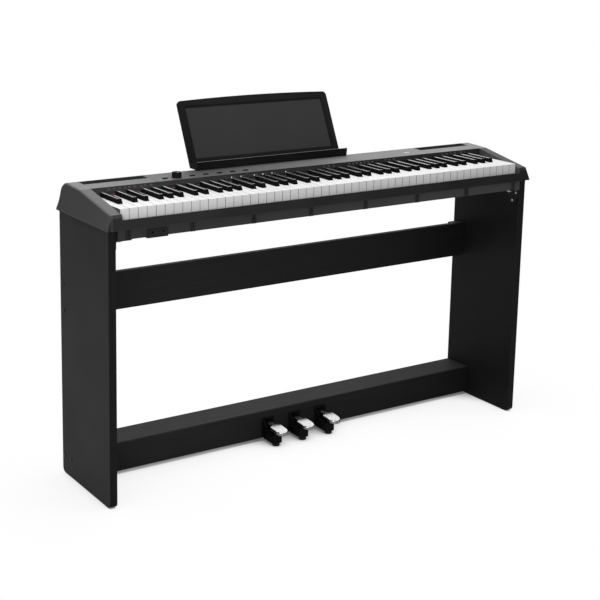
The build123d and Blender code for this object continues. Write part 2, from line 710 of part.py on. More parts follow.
def button(x):
    """Return one push button: a cap with a stem above its switch."""
    stem_width, stem_low = BUTTON_STEM
    with BuildPart() as piece:
        with BuildSketch(Plane.XY.offset(BUTTON_SHOULDER)):
            with Locations((x, back(BUTTON_DEPTH))):
                RectangleRounded(*BUTTON_SIZE, 1.2)
        extrude(amount=BUTTON_TOP - BUTTON_SHOULDER)
        fillet(piece.faces().sort_by(Axis.Z)[-1].edges(), radius=0.8)
        with BuildSketch(Plane.XY.offset(stem_low)):
            with Locations((x, back(BUTTON_DEPTH))):
                Rectangle(stem_width, stem_width)
        extrude(amount=BUTTON_SHOULDER - stem_low)
    return piece.part


def volume_knob():
    """Return the volume knob: a fluted cap and the shaft that it turns."""
    base = top_height(BUTTON_DEPTH) + KNOB_GAP
    with BuildPart() as knob:
        with BuildSketch(Plane.XY.offset(base)):
            with Locations((KNOB_X, back(BUTTON_DEPTH))):
                Circle(KNOB_RADIUS)
        extrude(amount=KNOB_HEIGHT, taper=3)
        fillet(knob.faces().sort_by(Axis.Z)[-1].edges(), radius=1.0)
        with BuildSketch(Plane.XY.offset(base)):
            with Locations((KNOB_X, back(BUTTON_DEPTH))):
                with PolarLocations(KNOB_RADIUS + 0.3, KNOB_FLUTES):
                    Circle(KNOB_GAP)
        extrude(amount=KNOB_HEIGHT - 2, mode=Mode.SUBTRACT)
    shaft = rod((KNOB_X, BUTTON_DEPTH, KNOB_SHAFT_END), KNOB_SHAFT, base + OVERCUT - KNOB_SHAFT_END)
    return joined([knob.part, shaft])


def volume_pot():
    """Return the potentiometer that the knob's shaft turns in."""
    half_x, half_y = POT_SIZE[0] / 2, POT_SIZE[1] / 2
    depths = (BUTTON_DEPTH - half_y, BUTTON_DEPTH + half_y)
    body = block((KNOB_X - half_x, KNOB_X + half_x), depths, POT_HEIGHTS)
    bore = rod((KNOB_X, BUTTON_DEPTH, KNOB_SHAFT_END - 0.5), KNOB_SHAFT + RUNNING_CLEARANCE, 10)
    return joined([body], [bore])


def panel_board():
    """Return the board under the control panel, with a switch below each button."""
    board_top = PANEL_BOARD[2][1]
    switches = [
        block((x - 3, x + 3), (BUTTON_DEPTH - 3, BUTTON_DEPTH + 3), (board_top, SWITCH_TOP)) for x in BUTTON_X
    ]
    return joined([block(*PANEL_BOARD), *switches])


def main_board():
    """Return the sound board at the back of the tray."""
    tray_floor = TRAY_BOTTOM + CASE_WALL
    pillars = [rod((*place, tray_floor), 3, MAIN_BOARD[2][0] - tray_floor) for place in BOARD_PILLARS]
    parts_on_top = [block(*limits) for limits in (CHIP, HEAT_SINK, *COILS)]
    return joined([block(*MAIN_BOARD), *parts_on_top, *pillars])


def headphone_jacks():
    """Return the block with two 6.35 mm headphone sockets under the fascia."""
    collars = [rod((x, 1.7, HEADPHONE_HEIGHT), 6.0, 2, (0, 1, 0)) for x in HEADPHONE_X]
    bores = [rod((x, 0, HEADPHONE_HEIGHT), SOCKET_RADIUS, 34, (0, 1, 0)) for x in HEADPHONE_X]
    return joined([block(*HEADPHONE_BLOCK), *collars], bores)


def rear_jack_plate():
    """Return the rear connector plate: power inlet, pedal, line and data sockets."""
    _, depths, heights = DATA_SOCKET
    bodies = [block((x - 7, x + 7), depths, heights) for x in (POWER_INLET_X, *REAR_SOCKET_X)]
    bodies.append(block(*DATA_SOCKET))
    cuts = [rod((x, 262, REAR_SOCKET_HEIGHT), SOCKET_RADIUS, 20, (0, 1, 0)) for x in REAR_SOCKET_X]
    cuts.append(rod((POWER_INLET_X, 262, REAR_SOCKET_HEIGHT), SOCKET_RADIUS - 0.3, 20, (0, 1, 0)))
    cuts.append(block(*DATA_MOUTH))
    pin = rod((POWER_INLET_X, 260, REAR_SOCKET_HEIGHT), 1.0, 14, (0, 1, 0))
    return joined([joined([block(*REAR_PLATE), *bodies], cuts), pin])


def rest_plane(offset=0.0):
    """Return the plane of the music rest's front face, origin at the middle of its foot."""
    tilt = math.radians(REST_TILT)
    normal = (0, -math.cos(tilt), math.sin(tilt))
    origin = (REST_X, back(REST_FOOT_DEPTH), REST_FOOT_HEIGHT)
    return Plane(origin=origin, x_dir=(1, 0, 0), z_dir=normal).offset(offset)


def music_rest():
    """Return the music rest: bordered panel, ledge with a lip, end plates and two tabs."""
    half = REST_WIDTH / 2
    side_top = REST_LENGTH - REST_CROWN
    with BuildPart() as rest:
        with BuildSketch(rest_plane(-REST_THICKNESS)) as outline:
            with BuildLine():
                Polyline((-half, side_top), (-half, 0), (half, 0), (half, side_top))
                ThreePointArc((half, side_top), (0, REST_LENGTH), (-half, side_top))
            make_face()
            fillet(outline.vertices().sort_by(Axis.Y)[-2:], radius=REST_CORNER)
        extrude(amount=REST_THICKNESS)
        with BuildSketch(rest_plane(-REST_RECESS)):
            with Locations((0, (REST_LENGTH - REST_BORDER) / 2)):
                RectangleRounded(REST_WIDTH - 2 * REST_BORDER, REST_LENGTH - REST_BORDER - 4, 6)
        extrude(amount=REST_RECESS, mode=Mode.SUBTRACT)
    low = REST_FOOT_HEIGHT
    left, right = REST_X - half, REST_X + half
    floor = block((left, right), (LEDGE_FRONT, REST_FOOT_DEPTH + 5), (low, low + LEDGE_WALL))
    lip_top = LEDGE_FRONT - LEDGE_LEAN
    lip = prism(
        [(LEDGE_FRONT, low), (lip_top, low + LEDGE_LIP), (lip_top + LEDGE_WALL, low + LEDGE_LIP),
         (LEDGE_FRONT + LEDGE_WALL, low)],
        left, right,
    )
    end_plate = [(LEDGE_FRONT, low), (lip_top + 0.2, low + LEDGE_END_FRONT),
                 (REST_FOOT_DEPTH + 8, low + LEDGE_END_REAR), (REST_FOOT_DEPTH + 5, low)]
    ends = [prism(end_plate, x, x + LEDGE_WALL) for x in (left, right - LEDGE_WALL)]
    tabs = [rest_tab(x, low - REST_TAB[2], low + OVERCUT) for x in tab_centres()]
    below = block((left - OVERCUT, right + OVERCUT), (LEDGE_FRONT, TOTAL_DEPTH), (low - 3 * REST_TAB[2], low))
    return joined([joined([rest.part], [below]), floor, lip, *ends, *tabs])


# ---------- stand ----------
def side_panel():
    """Return the treble side's panel, with rounded lower corners and its screw holes."""
    with BuildPart() as panel:
        with BuildSketch(Plane.YZ.offset(SIDE_INNER)) as outline:
            with Locations((back((SIDE_FRONT + SIDE_REAR) / 2), (GLIDE_HEIGHT + CASE_BOTTOM) / 2)):
                Rectangle(SIDE_REAR - SIDE_FRONT, CASE_BOTTOM - GLIDE_HEIGHT)
            fillet(outline.vertices().group_by(Axis.Y)[0], radius=SIDE_CORNER)
        extrude(amount=BOARD_SIDE)
        fillet(panel.faces().filter_by(Axis.X).edges(), radius=1.0)
    start = SIDE_INNER - OVERCUT
    screw_bore = STAND_SCREW_RADIUS + BODY_GAP
    pilot = BRACKET_SCREW_SHANK[0] + 0.1
    pilot_length = BRACKET_SCREW_SHANK[1] + OVERCUT
    holes = [rod((start, *place), screw_bore, BOARD_SIDE + 2 * OVERCUT, (1, 0, 0)) for place in STAND_SCREWS]
    holes += [rod((start, *place), pilot, pilot_length, (1, 0, 0)) for place in BRACKET_HOLES]
    holes += [rod((GLIDE_X, depth, 0.5), NAIL_RADIUS + 0.1, NAIL_LENGTH + 2) for depth in GLIDE_DEPTHS]
    return joined([panel.part], holes)


def floor_glides():
    """Return the four nail-in glides that the side panels stand on."""
    glides = []
    for depth in GLIDE_DEPTHS:
        disc = rod((GLIDE_X, depth, 0), GLIDE_RADIUS, GLIDE_HEIGHT)
        nail = rod((GLIDE_X, depth, 1), NAIL_RADIUS, NAIL_LENGTH)
        glides += mirrored_pair(joined([disc, nail]))
    return joined(glides)


def cross_board():
    """Return the tall board that ties the side panels together at the back."""
    with BuildPart() as board:
        add(block((-SIDE_INNER, SIDE_INNER), (CROSS_FRONT, CROSS_FRONT + BOARD), (CROSS_BOTTOM, CROSS_TOP)))
        fillet(board.edges().filter_by(Axis.X), radius=0.8)
    return board.part


def stand_screw_bore(place):
    """Return the bore that a stand screw cuts itself in the wood behind a side panel."""
    start = PANEL_OUTER - STAND_SCREW_LENGTH - 15
    return rod((start, *place), STAND_SCREW_RADIUS + 0.1, 2 * STAND_SCREW_LENGTH, (1, 0, 0))


def corner_battens():
    """Return the wooden blocks that take the side screws."""
    width = (BATTEN_INNER, SIDE_INNER)
    upright = block(width, (CROSS_FRONT + BOARD, UPRIGHT_BATTEN_REAR), (CROSS_BOTTOM + 3, CROSS_TOP - 3))
    low_block = block(width, (BOX_FRONT + BOARD, LOW_BATTEN_REAR), (LOW_BATTEN_BOTTOM, BOX_TOP - BOARD))
    cuts = [stand_screw_bore(place) for place in STAND_SCREWS[:3]]
    right = joined([upright, low_block], cuts)
    return joined(mirrored_pair(right))


def stand_screws():
    """Return the screws through the side panels into the battens and the pedal box."""
    screws = []
    for place in STAND_SCREWS:
        head = rod((PANEL_OUTER, *place), *STAND_SCREW_HEAD, (1, 0, 0))
        start = PANEL_OUTER - STAND_SCREW_LENGTH
        shank = rod((start, *place), STAND_SCREW_RADIUS, STAND_SCREW_LENGTH, (1, 0, 0))
        screws += mirrored_pair(joined([head, shank]))
    return joined(screws)


def pedal_xs():
    """Return the X of each pedal's middle."""
    return [-PEDAL_SPACING, 0.0, PEDAL_SPACING]


def pedal_box_top():
    """Return the pedal box's top board, with its soft front edge."""
    with BuildPart() as board:
        add(block((-SIDE_INNER, SIDE_INNER), (BOX_FRONT, BOX_REAR), (BOX_TOP - BOARD, BOX_TOP)))
        front_edges = board.edges().filter_by(Axis.X).group_by(Axis.Y)[0]
        fillet(front_edges.sort_by(Axis.Z)[-1], radius=BOX_EDGE)
    return board.part


def pedal_box_front():
    """Return the pedal box's front board, with a slot for each pedal."""
    board = block((-SIDE_INNER, SIDE_INNER), (BOX_FRONT, BOX_FRONT + BOARD), (BOX_BOTTOM, BOX_TOP - BOARD))
    width, low, high = PEDAL_SLOT
    through = (BOX_FRONT - OVERCUT, BOX_FRONT + BOARD + OVERCUT)
    slots = [block((x - width / 2, x + width / 2), through, (low, high)) for x in pedal_xs()]
    return joined([board], slots)


def pedal_box_rear():
    """Return the pedal box's rear board."""
    board = block((-SIDE_INNER, SIDE_INNER), (BOX_REAR - BOARD, BOX_REAR), (BOX_BOTTOM, BOX_TOP - BOARD))
    return joined([board], mirrored_pair(stand_screw_bore(STAND_SCREWS[3])))


def slab_brackets():
    """Return the two steel brackets that hold the slab down on the side panels."""
    plate = prism(BRACKET_OUTLINE, SIDE_INNER - BRACKET_STEEL, SIDE_INNER)
    bore = BRACKET_SCREW_SHANK[0] + BODY_GAP
    cuts = [rod((SIDE_INNER - 5, *place), bore, 10, (1, 0, 0)) for place in BRACKET_HOLES]
    cuts.append(rod((*THUMB_SCREW, TRAY_BOTTOM - 6), THUMB_STUD[0] + BODY_GAP, 10))
    return joined(mirrored_pair(joined([plate, block(*BRACKET_FLANGE)], cuts)))


def bracket_screws():
    """Return the screws of the slab brackets: three into each panel and one into the slab."""
    pieces = []
    steel_face = SIDE_INNER - BRACKET_STEEL
    for place in BRACKET_HOLES:
        head = rod((steel_face - BRACKET_SCREW_HEAD[1], *place), *BRACKET_SCREW_HEAD, (1, 0, 0))
        shank = rod((steel_face, *place), *BRACKET_SCREW_SHANK, (1, 0, 0))
        pieces += mirrored_pair(joined([head, shank]))
    knob_radius, knob_low, knob_height = THUMB_KNOB
    knob = rod((*THUMB_SCREW, knob_low), knob_radius, knob_height)
    stud = rod((*THUMB_SCREW, knob_low + knob_height), *THUMB_STUD)
    pieces += mirrored_pair(joined([knob, stud]))
    return joined(pieces)


# ---------- pedals ----------
def rim_edges(faces):
    """Return the edges round a group of faces, without the seams between them."""
    edges = [edge for face in faces for edge in face.edges()]
    return [edge for edge in edges if sum(edge.is_same(other) for other in edges) == 1]


def pedal_side():
    """Return a broad slab with a pedal's side outline: level neck, tip curving down."""
    top = PEDAL_PIVOT_HEIGHT + PEDAL_THICKNESS / 2
    bend = back(PEDAL_BEND_DEPTH)
    tip = back(PEDAL_TIP_DEPTH - OVERCUT)
    heel = back(PEDAL_PIVOT_DEPTH + PEDAL_HEEL)
    with BuildPart() as side:
        with BuildSketch(Plane.YZ.offset(-PEDAL_TIP_WIDTH)):
            with BuildLine():
                TangentArc((bend, top), (tip, top - PEDAL_DROOP), tangent=(-1, 0))
                Line((tip, top - PEDAL_DROOP), (tip, top - PEDAL_DROOP - PEDAL_THICKNESS))
                TangentArc(
                    (bend, top - PEDAL_THICKNESS), (tip, top - PEDAL_DROOP - PEDAL_THICKNESS), tangent=(-1, 0)
                )
                Polyline(
                    (bend, top), (heel, top), (heel, top - PEDAL_THICKNESS), (bend, top - PEDAL_THICKNESS)
                )
            make_face()
        extrude(amount=2 * PEDAL_TIP_WIDTH)
    return side.part


def pedal(x):
    """Return one pedal: narrow neck, broad drooping tip and a boss round its axle."""
    neck = PEDAL_NECK / 2
    tip = PEDAL_TIP_WIDTH / 2
    neck_end = back(PEDAL_NECK_DEPTH)
    shoulder = back(PEDAL_SHOULDER_DEPTH)
    tip_middle = back(PEDAL_TIP_DEPTH + tip)
    heel = back(PEDAL_PIVOT_DEPTH + PEDAL_HEEL)
    with BuildPart() as lever:
        with BuildSketch(Plane.XY):
            with BuildLine():
                Line((neck, heel), (neck, neck_end))
                Spline((neck, neck_end), (tip, shoulder), tangents=((0, -1), (0, -1)))
                Line((tip, shoulder), (tip, tip_middle))
                ThreePointArc((tip, tip_middle), (0, back(PEDAL_TIP_DEPTH)), (-tip, tip_middle))
                Line((-tip, tip_middle), (-tip, shoulder))
                Spline((-tip, shoulder), (-neck, neck_end), tangents=((0, 1), (0, 1)))
                Line((-neck, neck_end), (-neck, heel))
                Line((-neck, heel), (neck, heel))
            make_face()
        extrude(amount=2 * PEDAL_PIVOT_HEIGHT)
        add(pedal_side(), mode=Mode.INTERSECT)
        top_faces = lever.faces().filter_by(lambda face: face.normal_at().Z > 0.5)
        sole_faces = lever.faces().filter_by(lambda face: face.normal_at().Z < -0.5)
        fillet(rim_edges(top_faces), radius=PEDAL_CROWN)
        fillet(rim_edges(sole_faces), radius=PEDAL_SOLE)
    pivot = (PEDAL_PIVOT_DEPTH, PEDAL_PIVOT_HEIGHT)
    boss = rod((-neck, *pivot), PEDAL_BOSS, PEDAL_NECK, (1, 0, 0))
    hole = rod((-PEDAL_NECK, *pivot), AXLE_RADIUS + RUNNING_CLEARANCE, 2 * PEDAL_NECK, (1, 0, 0))
    return joined([lever.part, boss], [hole]).moved(Location((x, 0, 0)))


def pedal_chassis():
    """Return the steel tray inside the pedal box, with an ear each side of every pedal."""
    width = (-CHASSIS_HALF, CHASSIS_HALF)
    front, rear = BOX_FRONT + BOARD, BOX_REAR - BOARD
    low, high = CHASSIS_HEIGHTS
    plate = block(width, (front, rear), CHASSIS_HEIGHTS)
    lips = [
        block(width, (front, front + high - low), (high, CHASSIS_LIP_TOP)),
        block(width, (rear - high + low, rear), (high, CHASSIS_LIP_TOP)),
    ]
    depths = (PEDAL_PIVOT_DEPTH - EAR_HALF_DEPTH, PEDAL_PIVOT_DEPTH + EAR_HALF_DEPTH)
    ears = [block((x - 1, x + 1), depths, (high, EAR_TOP)) for x in EAR_X]
    pivot = (PEDAL_PIVOT_DEPTH, PEDAL_PIVOT_HEIGHT)
    hole = rod((-CHASSIS_HALF, *pivot), AXLE_RADIUS + 0.05, 2 * CHASSIS_HALF, (1, 0, 0))
    return joined([plate, *lips, *ears], [hole])


def pedal_axle():
    """Return the axle that all three pedals turn on."""
    return rod((-AXLE_HALF, PEDAL_PIVOT_DEPTH, PEDAL_PIVOT_HEIGHT), AXLE_RADIUS, 2 * AXLE_HALF, (1, 0, 0))


def pedal_spring(x):
    """Return one coil spring between the chassis and a pedal."""
    bottom = CHASSIS_HEIGHTS[1] + SPRING_WIRE
    top = PEDAL_PIVOT_HEIGHT - PEDAL_THICKNESS / 2 - SPRING_TOP_GAP - SPRING_WIRE
    height = top - bottom
    with BuildPart() as spring:
        with BuildLine():
            Helix(height / SPRING_TURNS, height, SPRING_RADIUS, center=(x, back(SPRING_DEPTH), bottom))
        with BuildSketch(Plane(origin=(x + SPRING_RADIUS, back(SPRING_DEPTH), bottom), z_dir=(0, 1, 0))):
            Circle(SPRING_WIRE)
        sweep(is_frenet=True)
    return spring.part


def pedal_base(x):
    """Return one pedal's black base: a frame round the slot and a block in front of it."""
    seat = BOX_FRONT - SLOT_FRAME_PROUD
    frame_width, frame_low, frame_high = SLOT_FRAME
    window_width, window_low, window_high = SLOT_WINDOW
    frame = block((x - frame_width / 2, x + frame_width / 2), (seat, BOX_FRONT), (frame_low, frame_high))
    window = block(
        (x - window_width / 2, x + window_width / 2), (seat - OVERCUT, BOX_FRONT + OVERCUT),
        (window_low, window_high),
    )
    low, front_top, rear_top = PEDAL_BASE_HEIGHTS
    outline = [(PEDAL_BASE_FRONT, low), (PEDAL_BASE_FRONT, front_top), (seat, rear_top), (seat, low)]
    with BuildPart() as base:
        add(prism(outline, x - PEDAL_BASE_HALF, x + PEDAL_BASE_HALF))
        fillet(base.edges().filter_by(Axis.Z).group_by(Axis.Y)[0], radius=PEDAL_BASE_HALF / 2)
    side_cheeks = [
        prism(BASE_CHEEK, edge, edge + BASE_CHEEK_WALL)
        for edge in (x - PEDAL_BASE_HALF, x + PEDAL_BASE_HALF - BASE_CHEEK_WALL)
    ]
    return joined([base.part, frame, *side_cheeks], [window])


def pedal_feet():
    """Return the rubber foot under the front of each pedal base."""
    feet = []
    for x in pedal_xs():
        with BuildPart() as foot:
            add(rod((x, PEDAL_BASE_FRONT + FOOT_RADIUS + 1, 0), FOOT_RADIUS, PEDAL_BASE_HEIGHTS[0]))
            fillet(foot.faces().sort_by(Axis.Z)[0].edges(), radius=2.0)
        feet.append(foot.part)
    return joined(feet)


def pedal_sensor_board():
    """Return the switch board behind the pedals."""
    width, depths, heights = SENSOR_SWITCH
    switches = [block((x - width / 2, x + width / 2), depths, heights) for x in pedal_xs()]
    return joined([block(*SENSOR_BOARD), *switches])


# ---------- build and write every node ----------
os.makedirs("parts", exist_ok=True)

for step, note in enumerate(NOTES):
    save(keys_of_note(step), f"keys_{note}")
save(key_frame(), "key_frame")
save(key_contact_board(), "key_contact_board")
save(felt_strips(), "felt_strips")

save(top_case(), "top_case")
save(bottom_case(), "bottom_case")
save(case_screws(), "case_screws")
save(control_panel(), "control_panel")
save(panel_strip(), "panel_strip")
save(mirror(grille(), about=Plane.YZ), "left_grille")
save(grille(), "right_grille")
save(mirror(speaker(), about=Plane.YZ), "left_speaker")
save(speaker(), "right_speaker")
BUTTON_NAMES = ["power", "metronome", "record", "play", "voice", "function"]
for button_name, button_x in zip(BUTTON_NAMES, BUTTON_X):
    save(button(button_x), f"{button_name}_button")
save(volume_knob(), "volume_knob")
save(volume_pot(), "volume_pot")
save(panel_board(), "panel_board")
save(main_board(), "main_board")
save(headphone_jacks(), "headphone_jacks")
save(rear_jack_plate(), "rear_jack_plate")
save(music_rest(), "music_rest")

save(mirror(side_panel(), about=Plane.YZ), "left_side_panel")
save(side_panel(), "right_side_panel")
save(floor_glides(), "floor_glides")
save(cross_board(), "rear_cross_board")
save(corner_battens(), "corner_battens")
save(stand_screws(), "stand_screws")
save(slab_brackets(), "slab_brackets")
save(bracket_screws(), "bracket_screws")

save(pedal_box_top(), "pedal_box_top_board")
save(pedal_box_front(), "pedal_box_front_board")
save(pedal_box_rear(), "pedal_box_rear_board")
save(pedal_chassis(), "pedal_chassis")
save(pedal_axle(), "pedal_axle")
for side, pedal_x in zip(["left", "middle", "right"], pedal_xs()):
    save(pedal(pedal_x), f"{side}_pedal")
    save(pedal_spring(pedal_x), f"{side}_pedal_spring")
save(joined([pedal_base(x) for x in pedal_xs()]), "pedal_bases")
save(pedal_feet(), "pedal_feet")
save(pedal_sensor_board(), "pedal_sensor_board")
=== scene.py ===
import math
import random

import bmesh
import bpy
from mathutils import Matrix, Vector


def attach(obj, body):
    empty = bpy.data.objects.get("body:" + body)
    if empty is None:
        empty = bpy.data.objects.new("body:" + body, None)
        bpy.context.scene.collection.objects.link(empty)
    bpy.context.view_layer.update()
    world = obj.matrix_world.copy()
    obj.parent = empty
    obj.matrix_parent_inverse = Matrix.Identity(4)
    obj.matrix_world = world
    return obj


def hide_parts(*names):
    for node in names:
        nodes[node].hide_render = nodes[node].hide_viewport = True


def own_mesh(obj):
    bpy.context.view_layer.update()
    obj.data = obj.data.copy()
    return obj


# Looks for the digital piano on its stand.
# Metres, in the CAD frame: X along the keys, Y to the back, Z up.

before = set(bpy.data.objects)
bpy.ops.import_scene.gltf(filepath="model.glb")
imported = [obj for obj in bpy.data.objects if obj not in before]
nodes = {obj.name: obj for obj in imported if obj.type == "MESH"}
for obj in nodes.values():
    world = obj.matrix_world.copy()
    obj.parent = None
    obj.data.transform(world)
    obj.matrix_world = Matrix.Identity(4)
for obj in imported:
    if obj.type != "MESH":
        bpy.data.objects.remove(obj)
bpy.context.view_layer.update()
scene = bpy.context.scene
dice = random.Random(88)


# ---------- camera ----------
# solved from the photo: place, turns, lens and shift of its picture
CAMERA_PLACE = Vector((-1.935, -2.7685, 1.3625))
CAMERA_YAW = math.radians(32.23)
CAMERA_PITCH = math.radians(-11.39)
CAMERA_ROLL = math.radians(0.72)
LENS = 78.63
SHIFT = (0.10, -0.185)


def make_camera():
    """The photo's camera, built from its three turns."""
    forward = Vector((
        math.sin(CAMERA_YAW) * math.cos(CAMERA_PITCH),
        math.cos(CAMERA_YAW) * math.cos(CAMERA_PITCH),
        math.sin(CAMERA_PITCH),
    ))
    level = Vector((math.cos(CAMERA_YAW), -math.sin(CAMERA_YAW), 0.0))
    over = level.cross(forward)
    right = math.cos(CAMERA_ROLL) * level + math.sin(CAMERA_ROLL) * over
    up = math.cos(CAMERA_ROLL) * over - math.sin(CAMERA_ROLL) * level
    turn = Matrix((right, up, -forward)).transposed()
    data = bpy.data.cameras.new("camera")
    data.lens = LENS
    data.shift_x, data.shift_y = SHIFT
    camera = bpy.data.objects.new("camera", data)
    scene.collection.objects.link(camera)
    camera.matrix_world = Matrix.Translation(CAMERA_PLACE) @ turn.to_4x4()
    scene.camera = camera


# ---------- studio ----------
FLOOR_SIZE = 40.0
FLOOR_CELLS = 4
WHITE = (1.0, 1.0, 1.0, 1.0)
SOFTBOXES = {
    # name: (place, target, size, watts)
    "top_softbox": ((0.0, 0.3, 3.2), (0.0, 0.1, 0.0), (5.0, 4.0), 135.0),
    "front_softbox": ((-2.0, -2.6, 1.5), (0.0, 0.0, 0.6), (2.2, 1.8), 68.0),
    "back_softbox": ((0.7, 3.9, 3.2), (0.0, 0.0, 0.6), (6.4, 1.7), 60.0),
}
# the fill light by direction: how bright the room looks low down at the back, high up, and in front
ROOM_BACK = 0.035
ROOM_ABOVE = 0.22
ROOM_FRONT = 0.2
ROOM_HEIGHTS = (0.22, 0.5)
ROOM_TURNS = (-0.45, 0.05)
# the floor's two shadows: how far each looks for the piano, then its ramp's start, end, low, high
CONTACT_REACH = 0.1
CONTACT_SHADE = (0.05, 0.64, 0.12, 1.0)
HAZE_REACH = 0.5
HAZE_SHADE = (0.3, 1.0, 0.88, 1.0)
SHADE_SAMPLES = 16
FLOOR_BOUNCE = (0.5, 0.5, 0.5, 1.0)


def link_chain(tree, pairs):
    for source, target in pairs:
        tree.links.new(source, target)


def add_softbox(name, place, target, size, watts):
    """An area light at place that looks at target and isn't seen by the camera."""
    data = bpy.data.lights.new(name, "AREA")
    data.shape = "RECTANGLE"
    data.size, data.size_y = size
    data.energy = watts
    light = bpy.data.objects.new(name, data)
    scene.collection.objects.link(light)
    light.location = place
    light.rotation_euler = (Vector(target) - Vector(place)).to_track_quat("-Z", "Y").to_euler()
    light.visible_camera = False


def ramp(tree, value, start, end, low, high):
    """A smooth change from low to high as value goes from start to end."""
    node = tree.nodes.new("ShaderNodeMapRange")
    node.interpolation_type = "SMOOTHSTEP"
    node.inputs["From Min"].default_value = start
    node.inputs["From Max"].default_value = end
    node.inputs["To Min"].default_value = low
    node.inputs["To Max"].default_value = high
    tree.links.new(value, node.inputs["Value"])
    return node.outputs["Result"]


def make_world():
    """White behind everything, but only a dim shaped fill for the light that reaches the piano."""
    world = bpy.data.worlds.new("studio")
    scene.world = world
    world.use_nodes = True
    tree = world.node_tree
    tree.nodes.clear()
    out = tree.nodes.new("ShaderNodeOutputWorld")
    white = tree.nodes.new("ShaderNodeBackground")
    white.inputs["Color"].default_value = WHITE
    fill = tree.nodes.new("ShaderNodeBackground")
    fill.inputs["Color"].default_value = WHITE
    direction = tree.nodes.new("ShaderNodeSeparateXYZ")
    tree.links.new(tree.nodes.new("ShaderNodeTexCoord").outputs["Generated"], direction.inputs[0])
    height = ramp(tree, direction.outputs["Z"], *ROOM_HEIGHTS, ROOM_BACK, ROOM_ABOVE)
    front = ramp(tree, direction.outputs["Y"], *ROOM_TURNS, ROOM_FRONT, 0.0)
    strongest = tree.nodes.new("ShaderNodeMath")
    strongest.operation = "MAXIMUM"
    path = tree.nodes.new("ShaderNodeLightPath")
    mix = tree.nodes.new("ShaderNodeMixShader")
    link_chain(tree, [
        (height, strongest.inputs[0]), (front, strongest.inputs[1]),
        (strongest.outputs[0], fill.inputs["Strength"]),
        (path.outputs["Is Camera Ray"], mix.inputs["Fac"]),
        (fill.outputs[0], mix.inputs[1]), (white.outputs[0], mix.inputs[2]),
        (mix.outputs[0], out.inputs["Surface"]),
    ])


def shade_under(tree, reach, shade):
    """1 in the open, falling where something stands within reach of the floor."""
    node = tree.nodes.new("ShaderNodeAmbientOcclusion")
    node.samples = SHADE_SAMPLES
    node.inputs["Distance"].default_value = reach
    return ramp(tree, node.outputs["AO"], *shade)


def make_floor():
    """A white sweep that only darkens close under the piano; the piano itself sees it as mid grey."""
    bpy.ops.mesh.primitive_grid_add(
        x_subdivisions=FLOOR_CELLS, y_subdivisions=FLOOR_CELLS, size=FLOOR_SIZE, location=(0, 0, 0)
    )
    floor = bpy.context.object
    floor.name = "studio_floor"
    paint = bpy.data.materials.new("floor_paint")
    paint.use_nodes = True
    tree = paint.node_tree
    tree.nodes.clear()
    out = tree.nodes.new("ShaderNodeOutputMaterial")
    seen = tree.nodes.new("ShaderNodeEmission")
    seen_by_piano = tree.nodes.new("ShaderNodeBsdfDiffuse")
    seen_by_piano.inputs["Color"].default_value = FLOOR_BOUNCE
    contact = shade_under(tree, CONTACT_REACH, CONTACT_SHADE)
    haze = shade_under(tree, HAZE_REACH, HAZE_SHADE)
    shade = tree.nodes.new("ShaderNodeMath")
    shade.operation = "MULTIPLY"
    path = tree.nodes.new("ShaderNodeLightPath")
    both = tree.nodes.new("ShaderNodeMixShader")
    link_chain(tree, [
        (contact, shade.inputs[0]), (haze, shade.inputs[1]),
        (shade.outputs[0], seen.inputs["Strength"]),
        (path.outputs["Is Camera Ray"], both.inputs["Fac"]),
        (seen_by_piano.outputs[0], both.inputs[1]), (seen.outputs[0], both.inputs[2]),
        (both.outputs[0], out.inputs["Surface"]),
    ])
    floor.data.materials.append(paint)


# ---------- material kit ----------
# noise and scratch scales are repeats a metre; bump depths and wear radii are metres
WEAR_SAMPLES = 4
WEAR_SHARPNESS = 6.0
WEAR_PATCHES = 90.0
WEAR_LEAST = 0.25
WEAR_POLISH = 0.1
CLOUDS = 7.0
FINE_GLOSS = (-0.04, 0.04)
FINE_DEPTH = 0.00004
WORN_SHARE = 0.5
MOULDED_GRAIN = 1400.0
MOULDED_WEAR = 0.08
MOULDED_EDGE = 0.0008
MOULDED_CLOUD_GLOSS = 0.05


